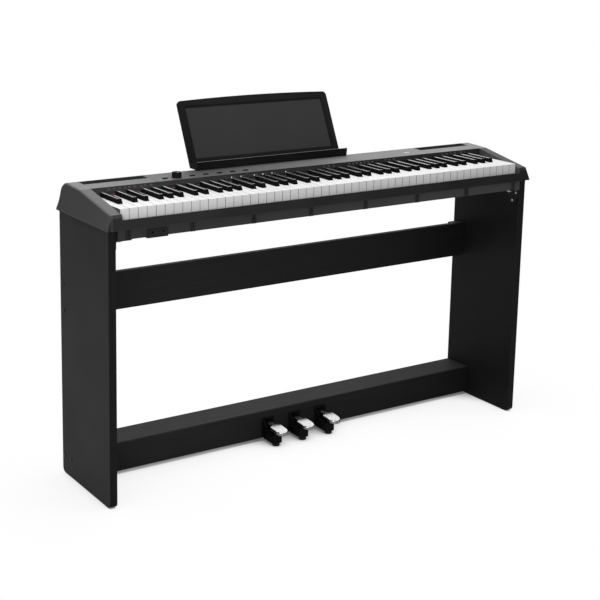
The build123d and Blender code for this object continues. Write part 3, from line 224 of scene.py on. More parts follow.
class Look:
    """A node material in the making: each call adds a node and returns its useful socket."""

    def __init__(self, name, specular=0.5, metallic=0.0):
        self.material = bpy.data.materials.new(name)
        self.material.use_nodes = True
        self.tree = self.material.node_tree
        self.surface = self.tree.nodes["Principled BSDF"]
        self.surface.inputs["Specular IOR Level"].default_value = specular
        self.surface.inputs["Metallic"].default_value = metallic
        self.place = self.add("ShaderNodeTexCoord").outputs["Object"]
        self.normal = None

    def add(self, kind, **settings):
        node = self.tree.nodes.new(kind)
        for key, value in settings.items():
            setattr(node, key, value)
        return node

    def join(self, source, target):
        self.tree.links.new(source, target)

    def stretched(self, scale):
        """The place on the piano, scaled differently along each axis."""
        mapping = self.add("ShaderNodeMapping")
        mapping.inputs["Scale"].default_value = scale
        self.join(self.place, mapping.inputs["Vector"])
        return mapping.outputs[0]

    def noise(self, scale, detail=3.0, stretch=None, roughness=0.5):
        node = self.add("ShaderNodeTexNoise")
        node.inputs["Scale"].default_value = scale
        node.inputs["Detail"].default_value = detail
        node.inputs["Roughness"].default_value = roughness
        self.join(self.stretched(stretch) if stretch else self.place, node.inputs["Vector"])
        return node.outputs["Fac"]

    def cell_edges(self, scale):
        """How far a place is from the edge of its cell."""
        node = self.add("ShaderNodeTexVoronoi", feature="DISTANCE_TO_EDGE")
        node.inputs["Scale"].default_value = scale
        self.join(self.place, node.inputs["Vector"])
        return node.outputs["Distance"]

    def spread(self, value, low, high, start=0.3, end=0.7):
        """Low to high as value goes from start to end; the usual start and end suit a noise."""
        node = self.add("ShaderNodeMapRange")
        node.inputs["From Min"].default_value = start
        node.inputs["From Max"].default_value = end
        node.inputs["To Min"].default_value = low
        node.inputs["To Max"].default_value = high
        self.join(value, node.inputs["Value"])
        return node.outputs["Result"]

    def math(self, operation, first, second=None):
        node = self.add("ShaderNodeMath", operation=operation)
        for socket, value in zip(node.inputs, (first, second)):
            if value is None:
                continue
            if isinstance(value, (int, float)):
                socket.default_value = value
            else:
                self.join(value, socket)
        return node.outputs[0]

    def blend(self, amount, first, second):
        """First where amount is 0, second where it is 1."""
        node = self.add("ShaderNodeMix", data_type="RGBA")
        self.join(amount, node.inputs["Factor"])
        for socket, value in ((node.inputs[6], first), (node.inputs[7], second)):
            if isinstance(value, tuple):
                socket.default_value = (*value, 1.0)
            else:
                self.join(value, socket)
        return node.outputs[2]

    def edges(self, radius):
        """About 1 along worn outer edges and 0 on flats, broken up by a noise."""
        soft = self.add("ShaderNodeBevel", samples=WEAR_SAMPLES)
        soft.inputs["Radius"].default_value = radius
        true = self.add("ShaderNodeNewGeometry")
        dot = self.add("ShaderNodeVectorMath", operation="DOT_PRODUCT")
        self.join(soft.outputs[0], dot.inputs[0])
        self.join(true.outputs["Normal"], dot.inputs[1])
        worn = self.math("SUBTRACT", 1.0, dot.outputs["Value"])
        patchy = self.spread(self.noise(WEAR_PATCHES), WEAR_LEAST, 1.0)
        worn = self.math("MULTIPLY", self.math("MULTIPLY", worn, WEAR_SHARPNESS), patchy)
        return self.math("MINIMUM", worn, 1.0)

    def axis(self, vector, letter):
        parts = self.add("ShaderNodeSeparateXYZ")
        self.join(vector, parts.inputs[0])
        return parts.outputs[letter]

    def at(self, letter, start, end):
        """0 before start and 1 after end, measured along one axis of the frame."""
        return self.spread(self.axis(self.place, letter), 0.0, 1.0, start, end)

    def facing(self, letter, start, end):
        """0 to 1 as the surface's normal turns from start to end along one axis."""
        if not self.normal:
            self.normal = self.add("ShaderNodeNewGeometry").outputs["Normal"]
        return self.spread(self.axis(self.normal, letter), 0.0, 1.0, start, end)

    def both(self, *masks):
        """Only where every mask is."""
        product = masks[0]
        for mask in masks[1:]:
            product = self.math("MULTIPLY", product, mask)
        return product

    def colour(self, socket):
        self.join(socket, self.surface.inputs["Base Color"])

    def rough(self, socket):
        self.join(socket, self.surface.inputs["Roughness"])

    def bump(self, height, distance, strength=1.0):
        node = self.add("ShaderNodeBump")
        node.inputs["Strength"].default_value = strength
        node.inputs["Distance"].default_value = distance
        self.join(height, node.inputs["Height"])
        self.join(node.outputs[0], self.surface.inputs["Normal"])


def grey(value):
    return (value, value, value)


def moulded(
    name, low, high, rough, specular, grain=MOULDED_GRAIN, depth=FINE_DEPTH, wear=MOULDED_WEAR
):
    """Satin moulded plastic: a fine spark-eroded grain, cloudy gloss and edges polished by hands."""
    look = Look(name, specular=specular)
    clouds = look.noise(CLOUDS, detail=4.0)
    fine = look.noise(grain, detail=2.0)
    base = look.blend(look.spread(clouds, 0.0, 1.0), low, high)
    worn = look.edges(MOULDED_EDGE)
    look.colour(look.blend(look.math("MULTIPLY", worn, WORN_SHARE), base, grey(high[0] + wear)))
    cloudy = look.spread(clouds, rough - MOULDED_CLOUD_GLOSS, rough + MOULDED_CLOUD_GLOSS)
    gloss = look.math("ADD", cloudy, look.spread(fine, *FINE_GLOSS))
    look.rough(look.math("SUBTRACT", gloss, look.math("MULTIPLY", worn, WEAR_POLISH)))
    look.bump(fine, depth)
    return look.material


# the case: painted light and shade, with tones by the way a face looks (paler up, darker in front,
# the fascia darker towards its right end), painted light where its deck gets paler towards each end,
# and a painted highlight on the fascia's ledge
CASE_LIT_TOP_TONE = 0.062
CASE_SHADED_SIDE_TONE = 0.043
FASCIA_SHADE_TONES = (0.009, 0.00225)
FASCIA_SHADE_FADE = ("X", -0.2, 0.5)
DECK_PAINTED_LIGHT_GAIN = 3.4
DECK_LEFT_END = ("X", -0.3, -0.55)
DECK_LEFT_SHARE = 0.6
DECK_RIGHT_END = ("X", -0.25, 0.5)
DECK_LEVEL = ("Z", 0.985, 0.996)
CASE_UP = ("Z", 0.15, 0.6)
CASE_FRONT = ("Y", -0.5, -0.85)
FASCIA_TOP = 0.702
FASCIA_LEDGE = (FASCIA_TOP + 0.002, FASCIA_TOP + 0.001)
FASCIA_LEDGE_UP = ("Z", 0.5, 0.9)
FASCIA_LEDGE_HIGHLIGHT_TONE = 0.075
CASE_GRAIN = 1100.0
CASE_DUST = 0.12
CASE_GLOSS = (0.46, 0.54)
CASE_EDGE = 0.0012
CASE_WORN_TONE = 0.07
PANEL_SEAMS = (-0.428, 0.428)
SEAM_HALVES = (0.0012, 0.0006)
SEAM_UP = ("Z", 0.7, 0.9)
SEAM_TONE = 0.012


def make_case():
    """Satin case plastic with painted light and shade: paler where it faces up and at the deck's
    ends, darker in front, a painted highlight on the fascia's ledge, a seam each side of the panel.
    """
    look = Look("case_charcoal", specular=0.3)
    clouds = look.noise(CLOUDS, detail=4.0)
    fine = look.noise(CASE_GRAIN, detail=2.0)
    # painted light: the deck paler towards each end
    left_end = look.math("MULTIPLY", look.at(*DECK_LEFT_END), DECK_LEFT_SHARE)
    ends = look.math("MAXIMUM", left_end, look.at(*DECK_RIGHT_END))
    on_deck = look.both(ends, look.facing(*DECK_LEVEL))
    deck = look.blend(on_deck, grey(CASE_LIT_TOP_TONE), grey(DECK_PAINTED_LIGHT_GAIN * CASE_LIT_TOP_TONE))
    # painted light and shade: paler where a face looks up
    base = look.blend(look.facing(*CASE_UP), grey(CASE_SHADED_SIDE_TONE), deck)
    # painted shade: the front faces darker, most towards the right end
    near, far = FASCIA_SHADE_TONES
    fascia = look.blend(look.at(*FASCIA_SHADE_FADE), grey(near), grey(far))
    base = look.blend(look.facing(*CASE_FRONT), base, fascia)
    # painted highlight: a pale line on the fascia's upward ledge
    ledge = look.both(look.facing(*FASCIA_LEDGE_UP), look.at("Z", *FASCIA_LEDGE))
    base = look.blend(ledge, base, grey(FASCIA_LEDGE_HIGHLIGHT_TONE))
    base = look.blend(look.spread(clouds, 0.0, CASE_DUST), base, grey(CASE_LIT_TOP_TONE))
    outer, inner = SEAM_HALVES
    for x in PANEL_SEAMS:
        line = look.both(look.at("X", x - outer, x - inner), look.at("X", x + outer, x + inner))
        base = look.blend(look.both(line, look.facing(*SEAM_UP)), base, grey(SEAM_TONE))
    worn = look.edges(CASE_EDGE)
    rubbed = grey(CASE_LIT_TOP_TONE + CASE_WORN_TONE)
    look.colour(look.blend(look.math("MULTIPLY", worn, WORN_SHARE), base, rubbed))
    gloss = look.math("ADD", look.spread(clouds, *CASE_GLOSS), look.spread(fine, *FINE_GLOSS))
    look.rough(look.math("SUBTRACT", gloss, look.math("MULTIPLY", worn, WEAR_POLISH)))
    look.bump(fine, FINE_DEPTH)
    return look.material


# the tray: painted light, paler towards its right end, and painted shade in the grooves between its
# fins
TRAY_CLOUDS = 9.0
TRAY_GRAIN = 1300.0
TRAY_TONES = (0.022, 0.045)
TRAY_LIGHT_FADE = ("X", -0.5, 0.45)
TRAY_FRONT = ("Y", -0.4, -0.7)
TRAY_DUST = 0.15
TRAY_DUST_TONE = 0.06
TRAY_GLOSS = (0.5, 0.6)
RIB_MIDDLES = (0.085, 0.254, 0.425, 0.595)
RIB_HALF = 0.006
RIB_SOFT = 0.001
RIB_GROOVE_SHADE_TONE = 0.008


def make_tray():
    """The tray's black plastic: satin wall segments, painted light towards the right end and painted
    shade in the grooves between the pairs of fins.
    """
    look = Look("tray_black", specular=0.2)
    clouds = look.noise(TRAY_CLOUDS, detail=4.0)
    fine = look.noise(TRAY_GRAIN, detail=2.0)
    near, far = TRAY_TONES
    # painted light: paler towards the right end
    base = look.blend(look.at(*TRAY_LIGHT_FADE), grey(near), grey(far))
    in_front = look.facing(*TRAY_FRONT)
    for middle in RIB_MIDDLES:
        for x in (-middle, middle):
            left, right = x - RIB_HALF, x + RIB_HALF
            # painted shade: the groove between each pair of fins darker
            groove = look.both(
                look.at("X", left - RIB_SOFT, left), look.at("X", right + RIB_SOFT, right)
            )
            base = look.blend(look.both(groove, in_front), base, grey(RIB_GROOVE_SHADE_TONE))
    look.colour(look.blend(look.spread(clouds, 0.0, TRAY_DUST), base, grey(TRAY_DUST_TONE)))
    look.rough(look.math("ADD", look.spread(clouds, *TRAY_GLOSS), look.spread(fine, *FINE_GLOSS)))
    look.bump(fine, FINE_DEPTH)
    return look.material


# the music rest: its panel's left, right, low and high edges, painted shade in the groove round the
# panel, and a painted highlight on the lip
REST_CLOUDS = 6.0
REST_GRAIN = 1500.0
REST_PANEL = (-0.265, 0.173, 0.7712, 0.9)
REST_SOFT = 0.0015
REST_FRONT = ("Y", -0.3, -0.7)
REST_RIM_TONE = 0.0035
REST_PANEL_TONE = 0.026
REST_GROOVE_SHADE_TONE = 0.001
REST_LIP_TOP = 0.7706
REST_LIP_LOW = (REST_LIP_TOP - 0.003, REST_LIP_TOP - 0.001)
REST_LIP_HIGH = (REST_LIP_TOP + 0.004, REST_LIP_TOP + 0.002)
REST_LIP_UP = ("Z", 0.6, 0.9)
REST_LIP_HIGHLIGHT_TONE = 0.22
REST_DUST = 0.1
REST_DUST_TONE = 0.05
REST_EDGE = 0.0008
REST_WEAR = 0.25
REST_WORN_TONE = 0.09
REST_GLOSS = (0.4, 0.5)
REST_FINE_GLOSS = (-0.03, 0.03)


def make_music_rest():
    """The music rest: near-black rim and ledge round a paler satin panel, painted shade in a fine
    groove round it and a painted highlight on the lip.
    """
    look = Look("music_rest", specular=0.14)
    clouds = look.noise(REST_CLOUDS, detail=4.0)
    fine = look.noise(REST_GRAIN, detail=2.0)
    left, right, low, high = REST_PANEL
    soft = REST_SOFT
    inside = look.both(
        look.at("X", left, left + soft), look.at("X", right, right - soft),
        look.at("Z", low, low + soft), look.at("Z", high, high - soft),
    )
    core = look.both(
        look.at("X", left + 3 * soft, left + 4 * soft),
        look.at("X", right - 3 * soft, right - 4 * soft),
        look.at("Z", high - 3 * soft, high - 4 * soft),
    )
    groove = look.math("SUBTRACT", inside, look.both(inside, core))
    in_front = look.facing(*REST_FRONT)
    base = look.blend(look.both(inside, in_front), grey(REST_RIM_TONE), grey(REST_PANEL_TONE))
    # painted shade in the fine groove round the panel
    base = look.blend(look.both(groove, in_front), base, grey(REST_GROOVE_SHADE_TONE))
    # painted highlight: a pale line on the lip's upward face
    lip = look.both(
        look.facing(*REST_LIP_UP), look.at("Z", *REST_LIP_LOW), look.at("Z", *REST_LIP_HIGH)
    )
    base = look.blend(lip, base, grey(REST_LIP_HIGHLIGHT_TONE))
    base = look.blend(look.spread(clouds, 0.0, REST_DUST), base, grey(REST_DUST_TONE))
    worn = look.math("MULTIPLY", look.edges(REST_EDGE), REST_WEAR)
    look.colour(look.blend(worn, base, grey(REST_WORN_TONE)))
    cloudy = look.spread(clouds, *REST_GLOSS)
    look.rough(look.math("ADD", cloudy, look.spread(fine, *REST_FINE_GLOSS)))
    look.bump(fine, FINE_DEPTH)
    return look.material


# the laminate: pairs of tones for its grain on the outer faces, the inner faces at each end of the
# piano and the front edges, painted light and shade by which way a face looks and where it stands;
# the inner faces, darkest towards the right end, and the front edges are darker with painted shade; a
# face is outer or on a side panel by its distance from the middle
LAMINATE_GRAIN = {"detail": 6.0, "roughness": 0.6}
OUTER_GRAIN = ((0.0175, 0.0175, 0.018), (0.0245, 0.0245, 0.025))
LEFT_INNER_SHADE_TONES = (0.0105, 0.0155)
RIGHT_INNER_SHADE_TONES = (0.0045, 0.007)
BOARD_TOP = (0.0175, 0.0175, 0.018)
FRONT_EDGE_SHADE_GRAIN = ((0.0028, 0.0028, 0.003), (0.0045, 0.0045, 0.0048))
INNER_SHADE_FADE = ("X", -0.6, 0.62)
OUTER_FACES = (0.64, 0.643)
SIDE_PANELS = (0.62, 0.626)
BOARD_UP = ("Z", 0.7, 0.95)
BOARD_FRONT = ("Y", -0.6, -0.9)
PORES = (0.42, 0.62)
LAMINATE_CLOUDS = 3.0
LAMINATE_EDGE = 0.0012
LAMINATE_WEAR = 0.3
LAMINATE_WORN_TONE = 0.05
LAMINATE_GLOSS = (0.5, 0.62)
LAMINATE_CLOUD_GLOSS = (-0.04, 0.06)
PORE_DEPTH = 0.00012
PORE_STRENGTH = 0.7


def make_laminate(name, stretch):
    """Black wood-grain laminate: long pores pressed along the board, a little dust in the grain,
    painted shade on inner faces and front edges.
    """
    look = Look(name, specular=0.18)
    grain = look.noise(1.0, stretch=stretch, **LAMINATE_GRAIN)
    pores = look.spread(grain, 0.0, 1.0, *PORES)
    clouds = look.noise(LAMINATE_CLOUDS)
    outer = look.blend(pores, *OUTER_GRAIN)
    from_middle = look.math("ABSOLUTE", look.axis(look.place, "X"))
    # painted shade: inner faces darker, darkest towards the right end
    left_inner_shade = look.blend(pores, *[grey(tone) for tone in LEFT_INNER_SHADE_TONES])
    right_inner_shade = look.blend(pores, *[grey(tone) for tone in RIGHT_INNER_SHADE_TONES])
    inner = look.blend(look.at(*INNER_SHADE_FADE), left_inner_shade, right_inner_shade)
    base = look.blend(look.spread(from_middle, 0.0, 1.0, *OUTER_FACES), inner, outer)
    base = look.blend(look.facing(*BOARD_UP), base, BOARD_TOP)
    # painted shade: the side panels' front edges darker
    on_panels = look.spread(from_middle, 0.0, 1.0, *SIDE_PANELS)
    front_edge = look.both(look.facing(*BOARD_FRONT), on_panels)
    base = look.blend(front_edge, base, look.blend(pores, *FRONT_EDGE_SHADE_GRAIN))
    worn = look.math("MULTIPLY", look.edges(LAMINATE_EDGE), LAMINATE_WEAR)
    look.colour(look.blend(worn, base, grey(LAMINATE_WORN_TONE)))
    cloudy = look.spread(clouds, *LAMINATE_CLOUD_GLOSS)
    look.rough(look.math("ADD", look.spread(grain, *LAMINATE_GLOSS), cloudy))
    look.bump(grain, PORE_DEPTH, PORE_STRENGTH)
    return look.material


# the white keys: where they lie, so that each has its own tone and a painted shadow line at each side
# of its front
KEY_COUNT = 52
KEY_PITCH = 0.0235
KEYBOARD_LEFT = -0.611
KEY_TOPS = ((0.685, 0.685, 0.68), (0.71, 0.71, 0.705))
KEY_FRONT = ("Y", -0.5, -0.9)
KEY_MIDDLE = 0.5
KEY_GAP = (0.462, 0.488)
KEY_GAP_SHADOW_TONE = 0.16
KEY_ROUND = (("Z", 0.99, 0.9), ("Y", -0.05, -0.3))
KEY_FRONT_SHADE_TONE = 0.62
KEY_SIDES = (("X", 0.9, 0.98), ("X", -0.9, -0.98))
KEY_SIDE_SHADE_TONE = 0.1
KEY_GLOSS_CLOUDS = 140.0
KEY_GLOSS = (0.3, 0.42)
KEY_RIPPLE = 500.0
KEY_RIPPLE_DEPTH = 0.00001


def make_white_key():
    """White key plastic: clean tops; fronts and rounded front edges darker with painted shade, a
    painted shadow line where each key ends, and sides dark with painted shade.
    """
    look = Look("key_white", specular=0.4)
    keyboard = (KEYBOARD_LEFT, KEYBOARD_LEFT + KEY_COUNT * KEY_PITCH)
    steps = look.spread(look.axis(look.place, "X"), 0.0, KEY_COUNT, *keyboard)
    each = look.add("ShaderNodeTexWhiteNoise", noise_dimensions="1D")
    look.join(look.math("FLOOR", steps), each.inputs["W"])
    base = look.blend(each.outputs["Value"], *KEY_TOPS)
    from_middle = look.math("ABSOLUTE", look.math("SUBTRACT", look.math("FRACT", steps), KEY_MIDDLE))
    # painted shadow: a dark line at each side of a key's front face
    gap_shadow = look.both(look.spread(from_middle, 0.0, 1.0, *KEY_GAP), look.facing(*KEY_FRONT))
    base = look.blend(gap_shadow, base, grey(KEY_GAP_SHADOW_TONE))
    # painted shade: the rounded front edge and the front face darker
    rounded = look.both(*[look.facing(*turn) for turn in KEY_ROUND])
    base = look.blend(rounded, base, grey(KEY_FRONT_SHADE_TONE))
    # painted shade: the keys' sides dark
    sides = look.math("MAXIMUM", *[look.facing(*turn) for turn in KEY_SIDES])
    look.colour(look.blend(sides, base, grey(KEY_SIDE_SHADE_TONE)))
    look.rough(look.spread(look.noise(KEY_GLOSS_CLOUDS), *KEY_GLOSS))
    look.bump(look.noise(KEY_RIPPLE), KEY_RIPPLE_DEPTH)
    return look.material


# the black keys, with a painted highlight along their shoulders
SHARP_STREAKS = (900.0, 35.0, 900.0)
SHARP_TONES = (0.002, 0.005)
SHARP_EDGES = (("Z", 0.98, 0.9), ("Z", 0.25, 0.45), ("Y", -0.8, -0.5))
SHARP_HIGHLIGHT_TONE = 0.42
SHARP_ROUGH = (0.6, 0.7)
SHARP_POLISH = 0.42
SHARP_DEPTH = 0.00002


def make_black_key():
    """Black key: matt brushed top, with shoulders given a pale metallic tone as a painted highlight,
    glossier there too.
    """
    look = Look("key_black", specular=0.04)
    streaks = look.noise(1.0, detail=4.0, stretch=SHARP_STREAKS)
    dark, light = SHARP_TONES
    base = look.blend(look.spread(streaks, 0.0, 1.0), grey(dark), grey(light))
    # painted highlight: the shoulders take a pale grey that is also metallic and glossier
    polished = look.both(*[look.facing(*turn) for turn in SHARP_EDGES])
    look.colour(look.blend(polished, base, grey(SHARP_HIGHLIGHT_TONE)))
    look.join(polished, look.surface.inputs["Metallic"])
    polish = look.math("MULTIPLY", polished, SHARP_POLISH)
    look.rough(look.math("SUBTRACT", look.spread(streaks, *SHARP_ROUGH), polish))
    look.bump(streaks, SHARP_DEPTH)
    return look.material


# the gloss strip: dust in it, paler towards its left end
STRIP_DUST = 1800.0
STRIP_DUST_SHARE = (0.62, 0.75)
STRIP_DUST_TONE = 0.045
STRIP_TONES = (0.03, 0.012)
STRIP_FADE = ("X", -0.5, 0.2)
STRIP_SMEARS = 20.0
STRIP_GLOSS = (0.15, 0.28)
STRIP_WAVES = 60.0
STRIP_DEPTH = 0.00002


def make_gloss_strip():
    """The glossy strip behind the keys: smears, specks of dust and a slight wave."""
    look = Look("strip_gloss", specular=0.5)
    dust = look.spread(look.noise(STRIP_DUST, detail=1.0), 0.0, 1.0, *STRIP_DUST_SHARE)
    near, far = STRIP_TONES
    base = look.blend(look.at(*STRIP_FADE), grey(near), grey(far))
    look.colour(look.blend(dust, base, grey(STRIP_DUST_TONE)))
    look.rough(look.spread(look.noise(STRIP_SMEARS), *STRIP_GLOSS))
    look.bump(look.noise(STRIP_WAVES), STRIP_DEPTH)
    return look.material


# felt
FELT_FUZZ = 2600.0
FELT_REDS = ((0.10, 0.004, 0.006), (0.24, 0.012, 0.015))
FELT_SHEEN = 0.6
FELT_ROUGH = (0.85, 1.0)
FELT_DEPTH = 0.0003


def make_felt():
    """Red felt with a soft nap."""
    look = Look("felt_red", specular=0.1)
    fuzz = look.noise(FELT_FUZZ, detail=5.0, roughness=0.7)
    look.colour(look.blend(look.spread(fuzz, 0.0, 1.0), *FELT_REDS))
    look.surface.inputs["Sheen Weight"].default_value = FELT_SHEEN
    look.rough(look.spread(fuzz, *FELT_ROUGH))
    look.bump(fuzz, FELT_DEPTH)
    return look.material


# metals
METAL_SPREAD = 0.08
METAL_CLOUD_SHARE = 0.5
METAL_CLOUDS = 30.0
METAL_SHADE = 0.82
SCRATCH_LENGTH = 0.06
SCRATCH_DEPTH = 0.000006


def make_metal(name, colour, rough, scratch):
    """Bare or plated metal: cloudy tone and fine scratches one way."""
    look = Look(name, metallic=1.0)
    marks = look.noise(1.0, detail=3.0, stretch=(scratch, scratch * SCRATCH_LENGTH, scratch))
    clouds = look.noise(METAL_CLOUDS)
    shade = tuple(c * METAL_SHADE for c in colour)
    look.colour(look.blend(look.spread(clouds, 0.0, 1.0), shade, colour))
    scratched = look.spread(marks, rough, rough + METAL_SPREAD)
    cloudy = look.spread(clouds, 0.0, METAL_SPREAD * METAL_CLOUD_SHARE)
    look.rough(look.math("ADD", scratched, cloudy))
    look.bump(marks, SCRATCH_DEPTH)
    return look.material


# pedal chrome
CHROME_SMEARS = 45.0
CHROME_SCUFFS = (1200.0, 60.0, 600.0)
CHROME_TONES = (0.4, 0.46)
CHROME_ROUGH = (0.2, 0.28)
SCUFF_ROUGH = (0.0, 0.12, 0.62, 0.75)
SCUFF_DEPTH = 0.000003


def make_chrome():
    """Chrome plate with faint shoe scuffs and finger smears."""
    look = Look("pedal_chrome", metallic=1.0)
    smears = look.noise(CHROME_SMEARS, detail=5.0)
    scuffs = look.noise(1.0, detail=2.0, stretch=CHROME_SCUFFS)
    dark, light = CHROME_TONES
    look.colour(look.blend(look.spread(smears, 0.0, 1.0), grey(dark), grey(light)))
    polish = look.spread(smears, *CHROME_ROUGH)
    look.rough(look.math("ADD", polish, look.spread(scuffs, *SCUFF_ROUGH)))
    look.bump(scuffs, SCUFF_DEPTH)
    return look.material


# circuit boards
TRACK_CELLS = 260.0
TRACK_WIDTHS = (0.03, 0.09)
BOARD_GREENS = ((0.008, 0.07, 0.02), (0.03, 0.16, 0.05))
BOARD_SPECKLE = 300.0
BOARD_ROUGH = (0.25, 0.45)
TRACK_DEPTH = 0.00003


def make_board():
    """Green solder mask with fine copper tracks under it."""
    look = Look("board_green", specular=0.5)
    tracks = look.spread(look.cell_edges(TRACK_CELLS), 1.0, 0.0, *TRACK_WIDTHS)
    look.colour(look.blend(tracks, *BOARD_GREENS))
    look.rough(look.spread(look.noise(BOARD_SPECKLE), *BOARD_ROUGH))
    look.bump(tracks, TRACK_DEPTH)
    return look.material


# battens
BATTEN_RINGS = (60.0, 260.0, 14.0)
BATTEN_BROWNS = ((0.012, 0.0115, 0.011), (0.03, 0.028, 0.026))
BATTEN_ROUGH = (0.6, 0.8)
BATTEN_DEPTH = 0.0002


def make_wood():
    """Dark stained softwood for the battens."""
    look = Look("batten_wood", specular=0.2)
    rings = look.noise(1.0, detail=6.0, stretch=BATTEN_RINGS)
    look.colour(look.blend(look.spread(rings, 0.0, 1.0), *BATTEN_BROWNS))
    look.rough(look.spread(rings, *BATTEN_ROUGH))
    look.bump(rings, BATTEN_DEPTH)
    return look.material


# rubber and soft plastic
RUBBER_GRAIN = 800.0
RUBBER_ROUGH = (0.68, 0.85)
RUBBER_DEPTH = 0.00006


def make_rubber(name, low, high):
    """Matt rubber or soft plastic with an even grain."""
    look = Look(name, specular=0.3)
    fine = look.noise(RUBBER_GRAIN, detail=4.0)
    look.colour(look.blend(look.spread(fine, 0.0, 1.0), low, high))
    look.rough(look.spread(fine, *RUBBER_ROUGH))
    look.bump(fine, RUBBER_DEPTH)
    return look.material


# ---------- looks by node ----------
# how the laminate's grain is stretched on boards along X and on upright ones; the prints' fine grain
PRINT_GRAIN = 3000.0
PRINT_DEPTH = 0.00001
ALONG_X = (6.0, 420.0, 420.0)
ALONG_Z = (420.0, 420.0, 6.0)
# name: (darker tone, lighter tone, roughness, specular level, other settings)
MOULDED = {
    "case_black": (0.008, 0.013, 0.5, 0.2, {}),
    "grille_black": (0.005, 0.009, 0.7, 0.05, {"wear": 0.01}),
    "control_black": (0.004, 0.007, 0.6, 0.08, {"grain": 2200.0, "wear": 0.02}),
    "bracket_black": (0.006, 0.01, 0.45, 0.2, {"grain": 600.0, "wear": 0.03}),
    "pedal_base_black": (0.002, 0.005, 0.5, 0.1, {"wear": 0.02}),
    "part_black": (0.01, 0.018, 0.55, 0.4, {"grain": 900.0}),
    "print_white": (0.62, 0.75, 0.6, 0.2, {"grain": PRINT_GRAIN, "depth": PRINT_DEPTH}),
    "print_grey": (0.1, 0.17, 0.6, 0.2, {"grain": PRINT_GRAIN, "depth": PRINT_DEPTH}),
}
# name: (tone, roughness, scratch scale)
METALS = {
    "frame_steel": (0.55, 0.35, 400.0),
    "screw_steel": (0.62, 0.25, 900.0),
    "screw_black": (0.05, 0.4, 900.0),
    "spring_steel": (0.5, 0.3, 700.0),
}
# name: (darker tone, lighter tone)
RUBBERS = {"glide_plastic": (0.02, 0.035), "foot_rubber": (0.003, 0.007)}


def make_materials():
    """Every look by name: those with their own maker first, then the plain ones from the tables."""
    made = {
        "case_charcoal": make_case(),
        "tray_black": make_tray(),
        "music_rest_black": make_music_rest(),
        "strip_gloss": make_gloss_strip(),
        "key_white": make_white_key(),
        "key_black": make_black_key(),
        "felt_red": make_felt(),
        "board_green": make_board(),
        "laminate_black": make_laminate("laminate_black", ALONG_X),
        "laminate_upright": make_laminate("laminate_upright", ALONG_Z),
        "batten_wood": make_wood(),
        "pedal_chrome": make_chrome(),
    }
    for name, (dark, light, rough, specular, others) in MOULDED.items():
        made[name] = moulded(name, grey(dark), grey(light), rough, specular, **others)
    for name, (tone, rough, scratch) in METALS.items():
        made[name] = make_metal(name, grey(tone), rough, scratch)
    for name, (dark, light) in RUBBERS.items():
        made[name] = make_rubber(name, grey(dark), grey(light))
    return made


# nodes that don't wear the look of their slot
LOOK_OF_NODE = {
    "left_side_panel": "laminate_upright",
    "right_side_panel": "laminate_upright",
    "bottom_case": "tray_black",
    "left_grille": "grille_black",
    "right_grille": "grille_black",
    "stand_screws": "screw_black",
    "pedal_bases": "pedal_base_black",
}


def dress_nodes(looks):
    """Give each CAD node the look of its slot, or its own look where it has one."""
    for name, node in nodes.items():
        for place in node.material_slots:
            slot = place.material.name.split(".")[0]
            place.material = looks[LOOK_OF_NODE.get(name, slot)]


# ---------- printed marks and the knob's pointer ----------
FRONT_Y = -0.17302
# side lines of the surfaces that carry print: two ends of (depth from the front, height)
STRIP_FACE = ((0.1642, 0.7285), (0.166, 0.7454))
DECK_LINE = ((0.166, 0.7455), (0.24, 0.749))
PRINT_HEIGHT = 0.00012
DISC_POINTS = 14
CAP_TURNS = (-1.57, -0.8, 0.0, 0.8, 1.57)

# on the strip: the dots with a tick beside each
STRIP_DOTS = (-0.220, -0.192, -0.152, -0.126, -0.098, -0.055)
DOT_RADIUS = 0.0017
DOT_LEVEL = 0.7375
DOT_TICK_ASIDE = 0.008
DOT_TICK = (0.004, 0.0007)
# on the strip: rows of ticks where small labels were, each (start, end, count), in two lines
LABEL_SPANS = (
    (-0.565, -0.452, 9), (0.066, 0.100, 3), (0.150, 0.228, 7), (0.272, 0.300, 3), (0.475, 0.555, 6),
)
LABEL_JITTER = 0.15
UPPER_LEVEL = 0.7415
UPPER_LENGTHS = (0.004, 0.008)
UPPER_WIDTH = 0.0008
LOWER_LEVEL = 0.7385
LOWER_ASIDE = 0.001
LOWER_LENGTHS = (0.003, 0.006)
LOWER_WIDTH = 0.0006

# on the panel: a tick in front of each button, a ring of points round the knob
BUTTON_X = (-0.398, -0.320, -0.281, -0.241, -0.202, -0.163)
BUTTON_DEPTH = 0.190
BUTTON_TICK_DEPTH = BUTTON_DEPTH - 0.0085
BUTTON_TICK = (0.006, 0.0007)
RING_TURNS = range(-130, 131, 26)
RING_RADIUS = 0.0165
RING_POINT = 0.0005
RING_POINT_SIDES = 8
# on the panel: the broken hairline, and a small bar where a label was
HAIRLINE = (-0.115, 0.03)
HAIRLINE_DEPTH = 0.186
HAIRLINE_LENGTHS = (0.003, 0.009)
HAIRLINE_WIDTH = 0.0012
HAIRLINE_GAP = 0.0035
LABEL_BAR = (0.374, 0.2, 0.016, 0.004)

KNOB_X = -0.365
KNOB_TOP = 0.7605
POINTER_FOOT = KNOB_TOP - 0.0008
POINTER_CREST_SHARE = 0.6
POINTER_STATIONS = (
    # y from the knob's middle, half width, height of its crest over the knob
    (-0.0015, 0.0004, 0.0002),
    (-0.004, 0.0007, 0.0004),
    (-0.0085, 0.0009, 0.0004),
    (-0.0108, 0.0008, -0.0002),
)


def along(line, value, by_height):
    """The other coordinate of a side line of (depth, height) ends, found by height or by depth."""
    (depth_0, height_0), (depth_1, height_1) = line
    if by_height:
        return depth_0 + (value - height_0) / (height_1 - height_0) * (depth_1 - depth_0)
    return height_0 + (value - depth_0) / (depth_1 - depth_0) * (height_1 - height_0)


